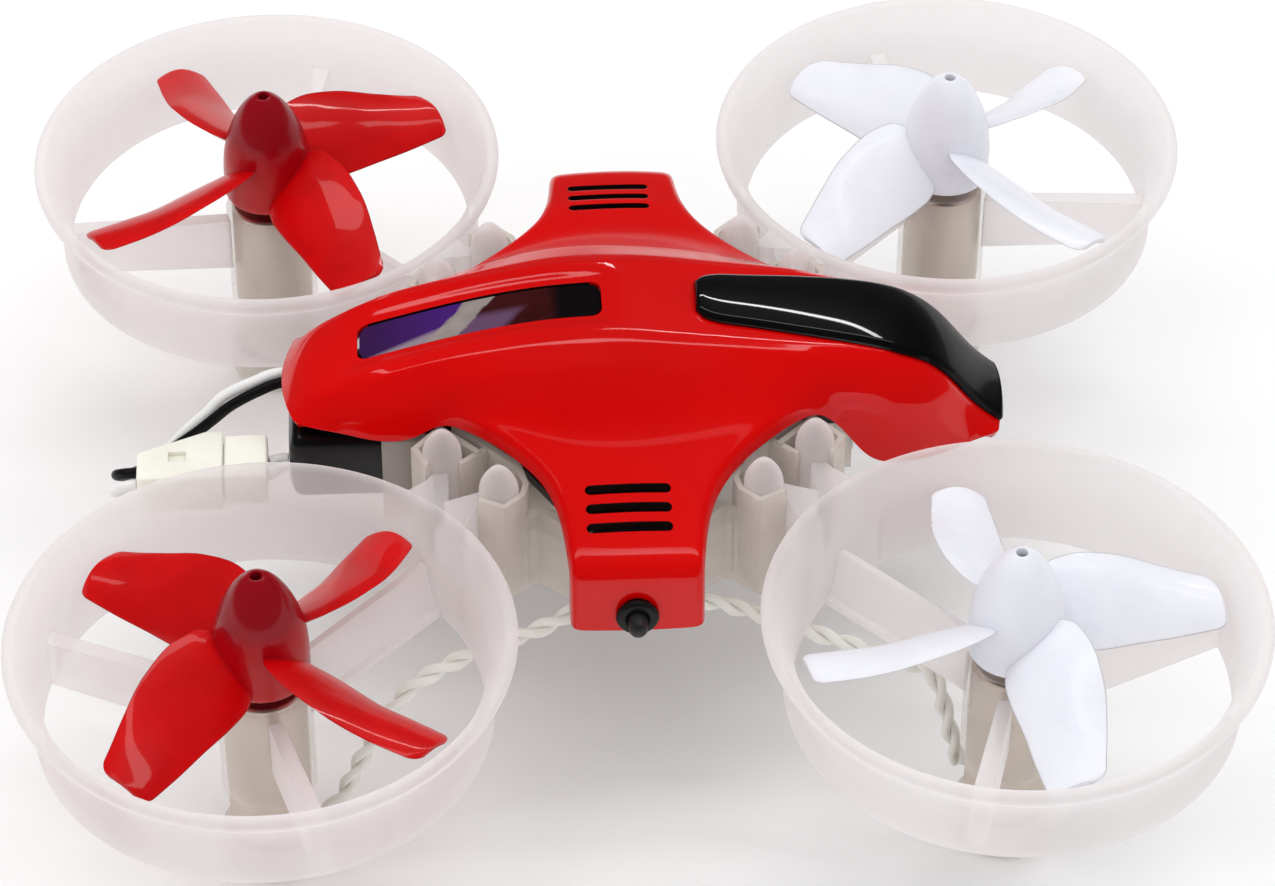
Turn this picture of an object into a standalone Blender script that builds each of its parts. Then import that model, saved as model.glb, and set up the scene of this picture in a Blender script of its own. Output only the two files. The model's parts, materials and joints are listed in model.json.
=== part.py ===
"""Palm-size ducted quadcopter with a red canopy, built in metres, +Z up.

+X is the craft's front, +Y its left side, and the ground is at z = 0 under the motor feet.
Sizes in the script are millimetres. Heights are measured from the plane of the duct lips,
RIM_Z above the feet, unless a comment says otherwise.
"""

import math

import bmesh
import bpy
from mathutils import Matrix, Vector
from mathutils.bvhtree import BVHTree

MM = 0.001

# ---------------------------------------------------------------- driving dimensions (mm)
RIM_Z = 22.0          # duct lips above the feet
PITCH = 26.8          # rotor axes stand at +-PITCH in x and y
LIP_R = 18.25         # outer radius of a duct's lip
WALL_R = 16.45        # outer radius of a duct's wall
BORE_R = 15.75        # inner radius of a duct's wall
DUCT_H = 7.8
PROP_R = 15.35        # blade tip radius
BLADE_ROOT_R = 2.7
SPINNER_R = 3.45
SPINNER_TOP = 5.9
MOTOR_R = 3.0
MOTOR_TOP = -4.6
MOTOR_END = -19.6
SLEEVE_R = 3.45
SLEEVE_BORE_R = 3.06
PEG_ALONG = 16.45     # pegs of a duct, along the diagonal from the middle of the craft
PEG_ACROSS = 2.85     # and to either side of it
PEG_R = 1.45
PEG_TOP = 3.3         # top of a peg's dome
CUP_TOP = 1.3         # rim of the frame's pockets, which hold the pegs
PIN_Z = -2.45         # pins at the ends of the side arms, and the canopy's eyes for them
BOARD_LOW = -2.3      # underside of the flight board
BOARD_THICK = 0.8

# side on x, side on y, turning sense seen from above (+1 anticlockwise), blade angle at rest
ROTORS = {
    "front_right": (1, -1, 1, 17.3),
    "front_left": (1, 1, -1, 36.8),
    "rear_left": (-1, 1, 1, 35.8),
    "rear_right": (-1, -1, -1, 45.0),
}

# ---------------------------------------------------------------- scene and collections
for old in list(bpy.data.objects):
    bpy.data.objects.remove(old, do_unlink=True)

craft = bpy.data.collections.new("palm_quadcopter")
tools = bpy.data.collections.new("cutters")      # work in progress and boolean operands
for collection in (craft, tools):
    bpy.context.scene.collection.children.link(collection)
tools.hide_render = True

# ---------------------------------------------------------------- materials
LOOKS = {
    "frame_clear": dict(colour=(0.86, 0.83, 0.76), roughness=0.3),
    "duct_frosted": dict(colour=(0.82, 0.78, 0.78), roughness=0.4),
    "motor_case": dict(colour=(0.6, 0.58, 0.54), metallic=1.0, roughness=0.3),
    "foot_clear": dict(colour=(0.8, 0.77, 0.72), roughness=0.4),
    "magnet": dict(colour=(0.35, 0.35, 0.37), metallic=1.0, roughness=0.3),
    "coil": dict(colour=(0.6, 0.25, 0.1), metallic=0.8, roughness=0.4),
    "steel": dict(colour=(0.6, 0.6, 0.6), metallic=1.0, roughness=0.25),
    "prop_white": dict(colour=(0.85, 0.86, 0.9), roughness=0.25),
    "prop_red": dict(colour=(0.6, 0.01, 0.01), roughness=0.25),
    "lead_white": dict(colour=(0.85, 0.84, 0.8), roughness=0.5),
    "lead_black": dict(colour=(0.02, 0.02, 0.02), roughness=0.5),
    "canopy_red": dict(colour=(0.7, 0.0, 0.01), roughness=0.15),
    "panel_black": dict(colour=(0.01, 0.01, 0.012), roughness=0.08),
    "window_smoke": dict(colour=(0.25, 0.2, 0.25), roughness=0.05, alpha=0.4),
    "rubber_black": dict(colour=(0.02, 0.02, 0.02), roughness=0.7),
    "board_black": dict(colour=(0.02, 0.02, 0.025), roughness=0.5),
    "board_purple": dict(colour=(0.12, 0.03, 0.25), roughness=0.4),
    "chip_black": dict(colour=(0.03, 0.03, 0.03), roughness=0.4),
    "metal_can": dict(colour=(0.7, 0.7, 0.7), metallic=1.0, roughness=0.3),
    "battery_black": dict(colour=(0.015, 0.015, 0.018), roughness=0.4),
    "tray_clear": dict(colour=(0.7, 0.72, 0.75), roughness=0.1, alpha=0.5),
    "housing_white": dict(colour=(0.85, 0.83, 0.76), roughness=0.4),
    "contact": dict(colour=(0.8, 0.65, 0.3), metallic=1.0, roughness=0.3),
}


def material(name, colour, roughness, metallic=0.0, alpha=1.0):
    made = bpy.data.materials.new(name)
    made.use_nodes = True
    inputs = made.node_tree.nodes["Principled BSDF"].inputs
    inputs["Base Color"].default_value = (*colour, 1)
    inputs["Metallic"].default_value = metallic
    inputs["Roughness"].default_value = roughness
    inputs["Alpha"].default_value = alpha
    made.diffuse_color = (*colour, alpha)
    return made


MATERIALS = {name: material(name, **look) for name, look in LOOKS.items()}


# ---------------------------------------------------------------- curves and outlines
def smooth_curve(pairs):
    """Function through (x, value) pairs: cubic Hermite with limited slopes."""
    xs, values = zip(*pairs)
    last = len(xs) - 1
    chords = [(values[i + 1] - values[i]) / (xs[i + 1] - xs[i]) for i in range(last)]
    slopes = [chords[0]]
    for before, after in zip(chords, chords[1:]):
        turns_back = before * after <= 0
        slopes.append(0.0 if turns_back else 2 * before * after / (before + after))
    slopes.append(chords[-1])

    def value_at(x):
        if x <= xs[0]:
            return values[0]
        if x >= xs[-1]:
            return values[-1]
        i = max(k for k in range(last) if xs[k] <= x)
        step = xs[i + 1] - xs[i]
        t = (x - xs[i]) / step
        return ((2 * t**3 - 3 * t**2 + 1) * values[i]
                + (t**3 - 2 * t**2 + t) * step * slopes[i]
                + (-2 * t**3 + 3 * t**2) * values[i + 1]
                + (t**3 - t**2) * step * slopes[i + 1])

    return value_at


def smooth_path(points, count):
    """`count` points along a Catmull-Rom curve through the points, evenly spaced along it."""
    knots = [Vector(point) for point in points]
    knots = [2 * knots[0] - knots[1]] + knots + [2 * knots[-1] - knots[-2]]
    dense = []
    for p0, p1, p2, p3 in zip(knots, knots[1:], knots[2:], knots[3:]):
        for k in range(24):
            t = k / 24
            dense.append(0.5 * (2 * p1 + (p2 - p0) * t
                                + (2 * p0 - 5 * p1 + 4 * p2 - p3) * t * t
                                + (3 * p1 - p0 - 3 * p2 + p3) * t**3))
    dense.append(knots[-2].copy())
    run = [0.0]
    for start, end in zip(dense, dense[1:]):
        run.append(run[-1] + (end - start).length)
    path, j = [], 0
    for k in range(count):
        distance = run[-1] * k / (count - 1)
        while j < len(run) - 2 and run[j + 1] < distance:
            j += 1
        part = (distance - run[j]) / max(run[j + 1] - run[j], 1e-9)
        path.append(dense[j].lerp(dense[j + 1], min(max(part, 0), 1)))
    return path


def rounded_slot(x0, x1, y, width, steps=4):
    radius = width / 2
    angles = [math.pi * (k / steps - 0.5) for k in range(steps + 1)]
    right = [(x1 - radius + radius * math.cos(a), y + radius * math.sin(a)) for a in angles]
    left = [(x0 + radius - radius * math.cos(a), y - radius * math.sin(a)) for a in angles]
    return right + left


def rounded_rect(x0, x1, y0, y1, radius, steps):
    corners = (
        (x1 - radius, y1 - radius, 0), (x0 + radius, y1 - radius, 90),
        (x0 + radius, y0 + radius, 180), (x1 - radius, y0 + radius, 270),
    )
    outline = []
    for centre_x, centre_y, first_angle in corners:
        for k in range(steps + 1):
            angle = math.radians(first_angle + 90 * k / steps)
            outline.append((centre_x + radius * math.cos(angle),
                            centre_y + radius * math.sin(angle)))
    return outline


def strip(points, half):
    """Plan outline of a wall of the given half thickness along points."""
    left, right = [], []
    for i, (x, y) in enumerate(points):
        before, after = points[max(i - 1, 0)], points[min(i + 1, len(points) - 1)]
        along = Vector((after[0] - before[0], after[1] - before[1])).normalized()
        left.append((x - along.y * half, y + along.x * half))
        right.append((x + along.y * half, y - along.x * half))
    return left + right[::-1]


def closed_over_x(outline):
    """The outline, carried on through its own reflection in the x axis."""
    return outline + [(x, -y) for x, y in outline[::-1]]


# ---------------------------------------------------------------- making objects
def helper(name, data):
    obj = bpy.data.objects.new(name, data)
    tools.objects.link(obj)
    return obj


def tidy(mesh, weld=None):
    """Welds vertices closer than `weld` metres, if given, and turns the faces outwards."""
    shape = bmesh.new()
    shape.from_mesh(mesh)
    if weld:
        bmesh.ops.remove_doubles(shape, verts=shape.verts, dist=weld)
    bmesh.ops.recalc_face_normals(shape, faces=shape.faces)
    shape.to_mesh(mesh)
    shape.free()


def meshed(obj):
    """The evaluated object as a plain mesh with its seams welded. The original is removed."""
    bpy.context.view_layer.update()
    depsgraph = bpy.context.evaluated_depsgraph_get()
    mesh = bpy.data.meshes.new_from_object(obj.evaluated_get(depsgraph))
    tidy(mesh, weld=1e-6)
    name, world = obj.name, obj.matrix_world.copy()
    bpy.data.objects.remove(obj, do_unlink=True)
    plain = helper(name, mesh)
    plain.matrix_world = world
    return plain


def new_mesh(name, verts, faces, smooth=True):
    mesh = bpy.data.meshes.new(name)
    mesh.from_pydata([(x * MM, y * MM, z * MM) for x, y, z in verts], [], faces)
    tidy(mesh)
    if smooth:
        mesh.shade_smooth()
    return helper(name, mesh)


def turned(name, profile, at, steps):
    """A profile of (radius, z), down its outer side, turned about the vertical through `at`.

    A profile that starts on the axis also ends there; any other is a closed loop.
    """
    count = len(profile)
    edges = [(i, i + 1) for i in range(count - 1)]
    if profile[0][0] > 0:
        edges.append((count - 1, 0))
    mesh = bpy.data.meshes.new(name)
    mesh.from_pydata([(radius * MM, 0, z * MM) for radius, z in profile], edges, [])
    obj = helper(name, mesh)
    obj.location = [c * MM for c in at]
    screw = obj.modifiers.new("Screw", "SCREW")
    screw.steps = screw.render_steps = steps
    screw.use_merge_vertices = True
    screw.merge_threshold = 0.00001
    screw.use_smooth_shade = True
    return meshed(obj)


def prism(name, outline, bottom, top, holes=(), frame=None):
    """A flat outline with holes, raised from bottom to top above the lips.

    A frame, if given, has its own origin at lip height.
    """
    if frame is None:
        frame = Matrix.Identity(4)
        bottom += RIM_Z
        top += RIM_Z
    curve = bpy.data.curves.new(name, "CURVE")
    curve.dimensions = "2D"
    curve.fill_mode = "BOTH"
    curve.extrude = (top - bottom) / 2 * MM
    for points in (outline, *holes):
        spline = curve.splines.new("POLY")
        spline.points.add(len(points) - 1)
        for target, (x, y) in zip(spline.points, points):
            target.co = (x * MM, y * MM, 0, 1)
        spline.use_cyclic_u = True
    obj = helper(name, curve)
    obj.matrix_world = frame @ Matrix.Translation((0, 0, (bottom + top) / 2 * MM))
    return meshed(obj)


def wire(points, radius):
    """A round wire along points given from the ground."""
    curve = bpy.data.curves.new("lead", "CURVE")
    curve.dimensions = "3D"
    curve.bevel_depth = radius * MM
    curve.bevel_resolution = 1
    curve.use_fill_caps = True
    spline = curve.splines.new("POLY")
    spline.points.add(len(points) - 1)
    for target, (x, y, z) in zip(spline.points, points):
        target.co = (x * MM, y * MM, z * MM, 1)
    return meshed(helper("lead", curve))


def block(name, x_span, y_span, z_span, bevel=0.0, segments=1):
    """A box over the three spans, with z from the lips; a bevelled one comes meshed."""
    spans = [sorted(x_span), sorted(y_span), [RIM_Z + z for z in sorted(z_span)]]
    shape = bmesh.new()
    bmesh.ops.create_cube(shape, size=1.0)
    for vert in shape.verts:
        vert.co = [((low + high) / 2 + part * (high - low)) * MM
                   for (low, high), part in zip(spans, vert.co)]
    mesh = bpy.data.meshes.new(name)
    shape.to_mesh(mesh)
    shape.free()
    obj = helper(name, mesh)
    if not bevel:
        return obj
    rounding = obj.modifiers.new("Bevel", "BEVEL")
    rounding.width = bevel * MM
    rounding.segments = segments
    rounding.limit_method = "ANGLE"
    return meshed(obj)


def axis_frame(at, axis):
    """Frame with its origin at `at` and +Z along the axis."""
    turn = Vector(axis).to_track_quat("Z", "Y").to_matrix().to_4x4()
    return Matrix.Translation([c * MM for c in at]) @ turn


def rod(name, radius, length, at, axis, sides):
    """A cylinder centred on `at`, given from the ground."""
    shape = bmesh.new()
    bmesh.ops.create_cone(shape, cap_ends=True, segments=sides, radius1=radius * MM,
                          radius2=radius * MM, depth=length * MM)
    mesh = bpy.data.meshes.new(name)
    shape.to_mesh(mesh)
    shape.free()
    obj = helper(name, mesh)
    obj.matrix_world = axis_frame(at, axis)
    return obj


def combined(base, others, operation):
    for other in others:
        modifier = base.modifiers.new(operation.title(), "BOOLEAN")
        modifier.operation = operation
        modifier.object = other
        modifier.solver = "EXACT"
    return meshed(base)


def joined(base, others):
    """One closed body out of overlapping ones."""
    return combined(base, others, "UNION")


def cut(base, others):
    return combined(base, others, "DIFFERENCE")


def finish(obj, name, slot):
    """Names a finished piece, gives it its material and moves it to the craft's collection."""
    obj.name = name
    obj.data.name = name
    obj.data.materials.clear()
    obj.data.materials.append(MATERIALS[slot])
    tools.objects.unlink(obj)
    craft.objects.link(obj)


# ---------------------------------------------------------------- ducts
# In a duct's frame the origin is on the rotor axis at lip height, +X towards the craft's middle.
RING_STEPS = 28
# ring section: radius, z
RING_PROFILE = [
    (17.7, 0.12), (LIP_R, -0.3), (17.95, -1.05), (16.8, -2.5), (WALL_R, -4.2),
    (WALL_R, -DUCT_H), (BORE_R, -DUCT_H), (BORE_R, -4.4), (16.35, -1.6), (17.0, -0.3),
]
# sleeve round the motor: radius, z
SLEEVE_PROFILE = [
    (SLEEVE_R, -5.0), (SLEEVE_R, -14.5), (SLEEVE_BORE_R, -14.5), (SLEEVE_BORE_R, -5.0),
]
# peg with a domed top: radius, z
PEG_PROFILE = [
    (0.0, PEG_TOP), (0.5, PEG_TOP - 0.22), (1.2, PEG_TOP - 1.2), (PEG_R, PEG_TOP - 2.2),
    (PEG_R, -7.9), (1.25, -8.2), (0.0, -8.2),
]
# body that keeps the root out of the duct's bore: radius, z
BORE_PROFILE = [
    (0.0, 1.5), (17.6, 1.5), (17.5, -0.2), (16.6, -1.6), (16.1, -4.4), (16.1, -9.0), (0.0, -9.0),
]
# plan of a duct's root: x, y
ROOT_PLAN = [
    (15.95, -4.6), (17.6, -3.1), (19.3, -2.45), (20.9, -2.45), (20.9, -1.7), (18.7, 0.0),
    (20.9, 1.7), (20.9, 2.45), (19.3, 2.45), (17.6, 3.1), (15.95, 4.6),
]
# section of the spoke that points to the craft's middle, a leaning plate with a foot:
# y along the rotor's turning sense, z
VANE_SECTION = [
    (0.2, -3.85), (0.8, -3.75), (1.95, -7.15), (2.45, -7.25), (2.45, -7.75), (1.25, -7.75),
]
# the two ends of a plain spoke: x, half width, (bottom, top)
SPOKE_ENDS = ((3.2, 0.5, (-10.4, -5.6)), (16.0, 0.7, (-7.5, -3.6)))


def vane(sense):
    """The leaning spoke, clear of the motor sleeve's bore."""
    count = len(VANE_SECTION)
    verts = [(x, y * sense, z) for x in (2.0, 16.0) for y, z in VANE_SECTION]
    faces = [list(range(count)), [count + k for k in range(count)][::-1]]
    faces += [[k, count + k, count + (k + 1) % count, (k + 1) % count] for k in range(count)]
    plate = new_mesh("spoke", verts, faces, smooth=False)
    return cut(plate, [rod("bore", 3.25, 12, (0, 0, -6), (0, 0, 1), 32)])


def plain_spoke():
    verts = [(x, side * half, z) for x, half, span in SPOKE_ENDS for side in (-1, 1)
             for z in span]
    faces = [(0, 2, 3, 1), (4, 5, 7, 6), (0, 1, 5, 4), (2, 6, 7, 3), (1, 3, 7, 5), (0, 4, 6, 2)]
    return new_mesh("spoke", verts, faces, smooth=False)


def duct_root():
    """The root, whose top rises towards the craft's middle."""
    count = len(ROOT_PLAN)
    verts = [(x, y, -7.75) for x, y in ROOT_PLAN]
    verts += [(x, y, -0.75 + (x - 16) * 0.27) for x, y in ROOT_PLAN]
    faces = [list(range(count))[::-1], [count + k for k in range(count)]]
    faces += [[k, (k + 1) % count, count + (k + 1) % count, count + k] for k in range(count)]
    root = new_mesh("root", verts, faces, smooth=False)
    return cut(root, [turned("bore", BORE_PROFILE, (0, 0, 0), 56)])


def build_duct(name, side_x, side_y, sense):
    """A duct in one body with its motor sleeve, three spokes, root and two pegs."""
    ring = turned("ring", RING_PROFILE, (0, 0, 0), RING_STEPS)
    parts = [turned("sleeve", SLEEVE_PROFILE, (0, 0, 0), 16)]
    for turn in (0, 120, -120):
        spoke = vane(sense) if turn == 0 else plain_spoke()
        spoke.matrix_world = Matrix.Rotation(math.radians(turn), 4, "Z")
        parts.append(spoke)
    parts.append(duct_root())
    peg_x = PITCH * math.sqrt(2) - PEG_ALONG
    for side in (-1, 1):
        parts.append(turned("peg", PEG_PROFILE, (peg_x, side * PEG_ACROSS, 0), 10))
    duct = joined(ring, parts)
    axis = Matrix.Translation((side_x * PITCH * MM, side_y * PITCH * MM, RIM_Z * MM))
    duct.matrix_world = axis @ Matrix.Rotation(math.atan2(-side_y, -side_x), 4, "Z")
    finish(duct, "duct_" + name, "duct_frosted")


# ---------------------------------------------------------------- motors
# part, material, steps round the axis, profile of (radius, z)
MOTOR_PARTS = (
    ("motor_can", "motor_case", 16, [
        (0.5, -4.15), (1.1, -4.2), (1.15, MOTOR_TOP), (2.8, MOTOR_TOP),
        (MOTOR_R, MOTOR_TOP - 0.2), (MOTOR_R, MOTOR_END), (2.75, MOTOR_END), (2.75, -5.2),
        (0.5, -5.2)]),
    ("motor_foot", "foot_clear", 16, [
        (0.0, -20.9), (1.1, -20.9), (1.1, -19.9), (2.65, -19.9), (2.65, -19.75),
        (SLEEVE_BORE_R, -19.75), (SLEEVE_BORE_R, -19.1), (3.62, -19.1), (3.72, -19.3),
        (3.72, -21.6), (3.4, -RIM_Z), (0.0, -RIM_Z)]),
    ("motor_magnet", "magnet", 12, [
        (1.6, -5.3), (1.75, -5.45), (1.75, -16.9), (0.6, -16.9), (0.6, -5.3)]),
    ("motor_coil", "coil", 12, [
        (2.4, -6.4), (2.45, -6.6), (2.45, -18.0), (0.4, -18.0), (0.4, -17.2), (2.0, -17.2),
        (2.0, -6.4)]),
    ("motor_shaft", "steel", 12, [
        (0.0, 5.3), (0.25, 5.3), (0.34, 5.15), (0.34, -19.3), (0.0, -19.3)]),
)


def build_motor(name, at):
    for part, slot, steps, profile in MOTOR_PARTS:
        finish(turned(part, profile, at, steps), f"{part}_{name}", slot)


# ---------------------------------------------------------------- propellers
# hub under its spinner: radius, z
HUB_PROFILE = [
    (0.45, SPINNER_TOP), (1.15, 5.45), (2.35, 3.7), (2.85, 2.5), (3.4, 0.1),
    (SPINNER_R, -3.2), (3.3, -3.42), (0.9, -3.42), (0.45, -3.42),
]
BLADE_RADII = [BLADE_ROOT_R, 4.2, 6.6, 9.6, 12.6, 14.4, PROP_R]
CHORD_STEPS = 3
BLADE_THICK = 0.55
BLADE_CAMBER = 0.38
BLADE_CORNER = 0.7      # radius of the corners at the tip
EDGE_LIFT = 0.06        # raises the leading and trailing edges
# against radius: leading and trailing edge along the chord, pitch in degrees, height
blade_lead = smooth_curve([(2.7, 2.3), (3.6, 3.3), (4.8, 3.95), (6.2, 4.05), (9, 3.4),
                           (12, 1.9), (14, 0.85), (15.4, 0.2)])
blade_trail = smooth_curve([(2.7, -2.0), (3.6, -2.75), (5, -3.3), (7, -3.5), (9, -3.55),
                            (12, -3.8), (15.4, -4.05)])
blade_pitch = smooth_curve([(2.7, 41), (4, 38), (6, 35), (9, 31.5), (12, 23.5), (15.4, 15)])
blade_z = smooth_curve([(2.7, -1.0), (6, -1.15), (10, -1.5), (15.4, -1.9)])


def blade_ring(radius, sense, angle):
    """Section of a blade at a radius, wrapped round the rotor axis: over the top and back."""
    cos_angle, sin_angle = math.cos(math.radians(angle)), math.sin(math.radians(angle))
    near = max(0.0, radius - (PROP_R - BLADE_CORNER))
    inset = BLADE_CORNER - math.sqrt(max(0.0, BLADE_CORNER**2 - near**2))
    lead, trail = blade_lead(radius) - inset, blade_trail(radius) + inset
    pitch = math.radians(blade_pitch(radius))
    thick = BLADE_THICK * (1.25 - 0.6 * (radius - BLADE_ROOT_R) / 12.5)
    ring = []
    for k in range(2 * CHORD_STEPS):
        if k <= CHORD_STEPS:
            part, side = k / CHORD_STEPS, 1
        else:
            part, side = 2 - k / CHORD_STEPS, -1
        chord = trail + (lead - trail) * part
        rise = BLADE_CAMBER * (1 - (2 * part - 1) ** 2)
        rise += side * thick / 2 * math.sqrt(max(0.0, 1 - abs(2 * part - 1) ** 3))
        if k in (0, CHORD_STEPS):
            rise += EDGE_LIFT
        across = chord * math.cos(pitch) - rise * math.sin(pitch)
        up = chord * math.sin(pitch) + rise * math.cos(pitch)
        x = radius * math.cos(across / radius)
        y = radius * math.sin(across / radius) * sense
        ring.append((x * cos_angle - y * sin_angle, x * sin_angle + y * cos_angle,
                     blade_z(radius) + up))
    return ring


def blade(sense, angle, at):
    count = 2 * CHORD_STEPS
    verts = [(x + at[0], y + at[1], z + at[2]) for radius in BLADE_RADII
             for x, y, z in blade_ring(radius, sense, angle)]
    faces = []
    for i in range(len(BLADE_RADII) - 1):
        for k in range(count):
            first, second = i * count + k, i * count + (k + 1) % count
            faces.append([first, second, second + count, first + count])
    # flat ends in strips from edge to edge
    for start, is_root in ((0, True), ((len(BLADE_RADII) - 1) * count, False)):
        for k in range(count // 2):
            quad = [start + k, start + k + 1, start + (count - k - 1) % count,
                    start + (count - k) % count]
            corners = list(dict.fromkeys(quad))
            if len(corners) > 2:
                faces.append(corners if is_root else corners[::-1])
    return new_mesh("blade", verts, faces)


def build_propeller(name, side_x, sense, angle, at):
    hub = turned("hub", HUB_PROFILE, at, 16)
    blades = [blade(sense, angle + 90 * k, at) for k in range(4)]
    finish(joined(hub, blades), "propeller_" + name, "prop_white" if side_x > 0 else "prop_red")


# ---------------------------------------------------------------- clear frame
PLATE_TOP, PLATE_LOW = -4.55, -5.65
# a quarter of the plate's plan, from the front to the left arm: x, y
PLATE_QUARTER = [(17.2, 3.0), (14.2, 7.6), (7.6, 10.4), (4.2, 13.0), (3.6, 19.5), (2.6, 21.5)]
# hole in the left arm: x, y
ARM_HOLE = [(2.5, 12.4), (2.3, 19.2), (-2.3, 19.2), (-2.5, 12.4)]
# Uprights and gussets at each corner: name, bottom, top, plan. A plan's points are the distance
# out along the diagonal and the distance across it, away from the side arm.
# The two pockets are walls round one peg each; the first also runs along the inner side of both.
CORNER_PIECES = (
    ("pocket", -8.05, CUP_TOP, [
        (18.45, -2.62), (17.85, -4.78), (15.7, -4.82), (14.65, -4.2), (13.45, -2.2),
        (13.45, 4.3), (14.0, 4.3), (14.0, -2.05), (14.95, -3.85), (15.8, -4.38),
        (17.5, -4.34), (17.97, -2.7)]),
    ("pocket", -8.05, CUP_TOP, [
        (18.45, 2.62), (17.75, 4.78), (14.45, 4.98), (14.45, 0.8), (14.93, 0.8), (14.9, 4.5),
        (17.4, 4.34), (17.97, 2.7)]),
    ("rib", -6.9, CUP_TOP - 0.1, [(13.7, 0.5), (13.7, 1.05), (16.35, 1.3), (16.35, 0.9)]),
    ("foot", -5.5, -4.7, [(8.5, -4.5), (13.7, -2.3), (13.7, 4.0), (8.5, 4.5)]),
)
# upright webs from the front left pocket to the left arm: half thickness, bottom, top, (x, y) path
WEBS = (
    (0.3, -8.0, -0.7, [(7.9, 14.3), (6.6, 13.9), (3.75, 16.3)]),
    (0.32, -5.6, -1.1, [(3.9, 16.1), (3.0, 18.3), (2.2, 21.0)]),
)
# posts under the circuit board: x, y
POSTS = ((-4.5, 9.0), (3.0, 9.6), (-4.5, -9.0), (3.0, -9.6), (12.0, 3.0), (12.0, -3.0))


def frame_corner(side_x, side_y):
    turn = Matrix.Rotation(math.atan2(side_y, side_x), 4, "Z")
    here = Matrix.Translation((0, 0, RIM_Z * MM)) @ turn
    # each corner mirrors its neighbours
    mirror = -side_x * side_y
    pieces = [prism(name, [(along, mirror * across) for along, across in plan], bottom, top,
                    frame=here)
              for name, bottom, top, plan in CORNER_PIECES]
    for half, bottom, top, path in WEBS:
        route = [(side_x * x, side_y * y) for x, y in path]
        pieces.append(prism("web", strip(route, half), bottom, top))
    return pieces


def build_frame():
    left_half = PLATE_QUARTER + [(-x, y) for x, y in PLATE_QUARTER[::-1]]
    holes = [[(x, side * y) for x, y in ARM_HOLE] for side in (-1, 1)]
    plate = prism("frame", closed_over_x(left_half), PLATE_LOW, PLATE_TOP, holes=holes)
    pieces = [block("bay", (-18.1, 4.7), (-6.6, 6.6), (-8.0, -0.35))]
    for side_x, side_y, *_ in ROTORS.values():
        pieces += frame_corner(side_x, side_y)
    # bosses at the ends of the side arms carry the grommets' pins
    for side in (-1, 1):
        pieces.append(block("boss", (-2.3, 2.3), (side * 20.2, side * 21.7), (-5.1, -0.9)))
        pin_at = (0, side * 23.3, RIM_Z + PIN_Z)
        pieces.append(rod("pin", 0.7, 4.2, pin_at, (0, side, 0), 12))
    for x, y in POSTS:
        pieces.append(rod("post", 0.9, 2.4, (x, y, RIM_Z - 3.6), (0, 0, 1), 12))
    pieces.append(block("nose", (15.8, 16.8), (-5.5, 5.5), (-5.3, 0.4)))
    # a bridge over the battery carries the upper board
    for side in (-1, 1):
        pieces.append(block("leg", (-12.4, -10.2), (side * 5.95, side * 6.5), (-1.5, 1.4)))
    pieces.append(block("bridge", (-12.3, -10.3), (-6.4, 6.4), (0.8, 1.5)))
    solid = joined(plate, pieces)
    # room for the battery, and an opening in the bay's floor
    room = block("room", (-19.0, 3.6), (-5.85, 5.85), (-7.4, 0.75))
    opening = block("window", (-13.0, -1.0), (-3.6, 3.6), (-9, -6))
    finish(cut(solid, [room, opening]), "main_frame", "frame_clear")


# ---------------------------------------------------------------- canopy
CANOPY_THICK = 0.7
# height of the ridge against x
ridge_z = smooth_curve([
    (-25.5, 0.1), (-24.7, 1.1), (-23.6, 2.15), (-21.6, 3.05), (-19.2, 4.12), (-15.2, 5.35),
    (-10.5, 6.62), (-6.5, 7.37), (-3.4, 7.66), (-0.1, 7.62), (4.1, 7.12), (8.8, 6.45),
    (13.5, 5.75), (18.3, 4.85), (20.8, 4.05), (23.0, 2.75), (25.3, -0.2), (27.3, -2.75),
    (28.5, -3.4),
])
# depth of the slight hollow of the spine's top along the window, against x
dish = smooth_curve([(-23.0, 0.0), (-20.5, 0.2), (-19.0, 0.42), (-3.0, 0.42), (-1.2, 0.2),
                     (1.5, 0.0), (30.0, 0.0)])
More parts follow.
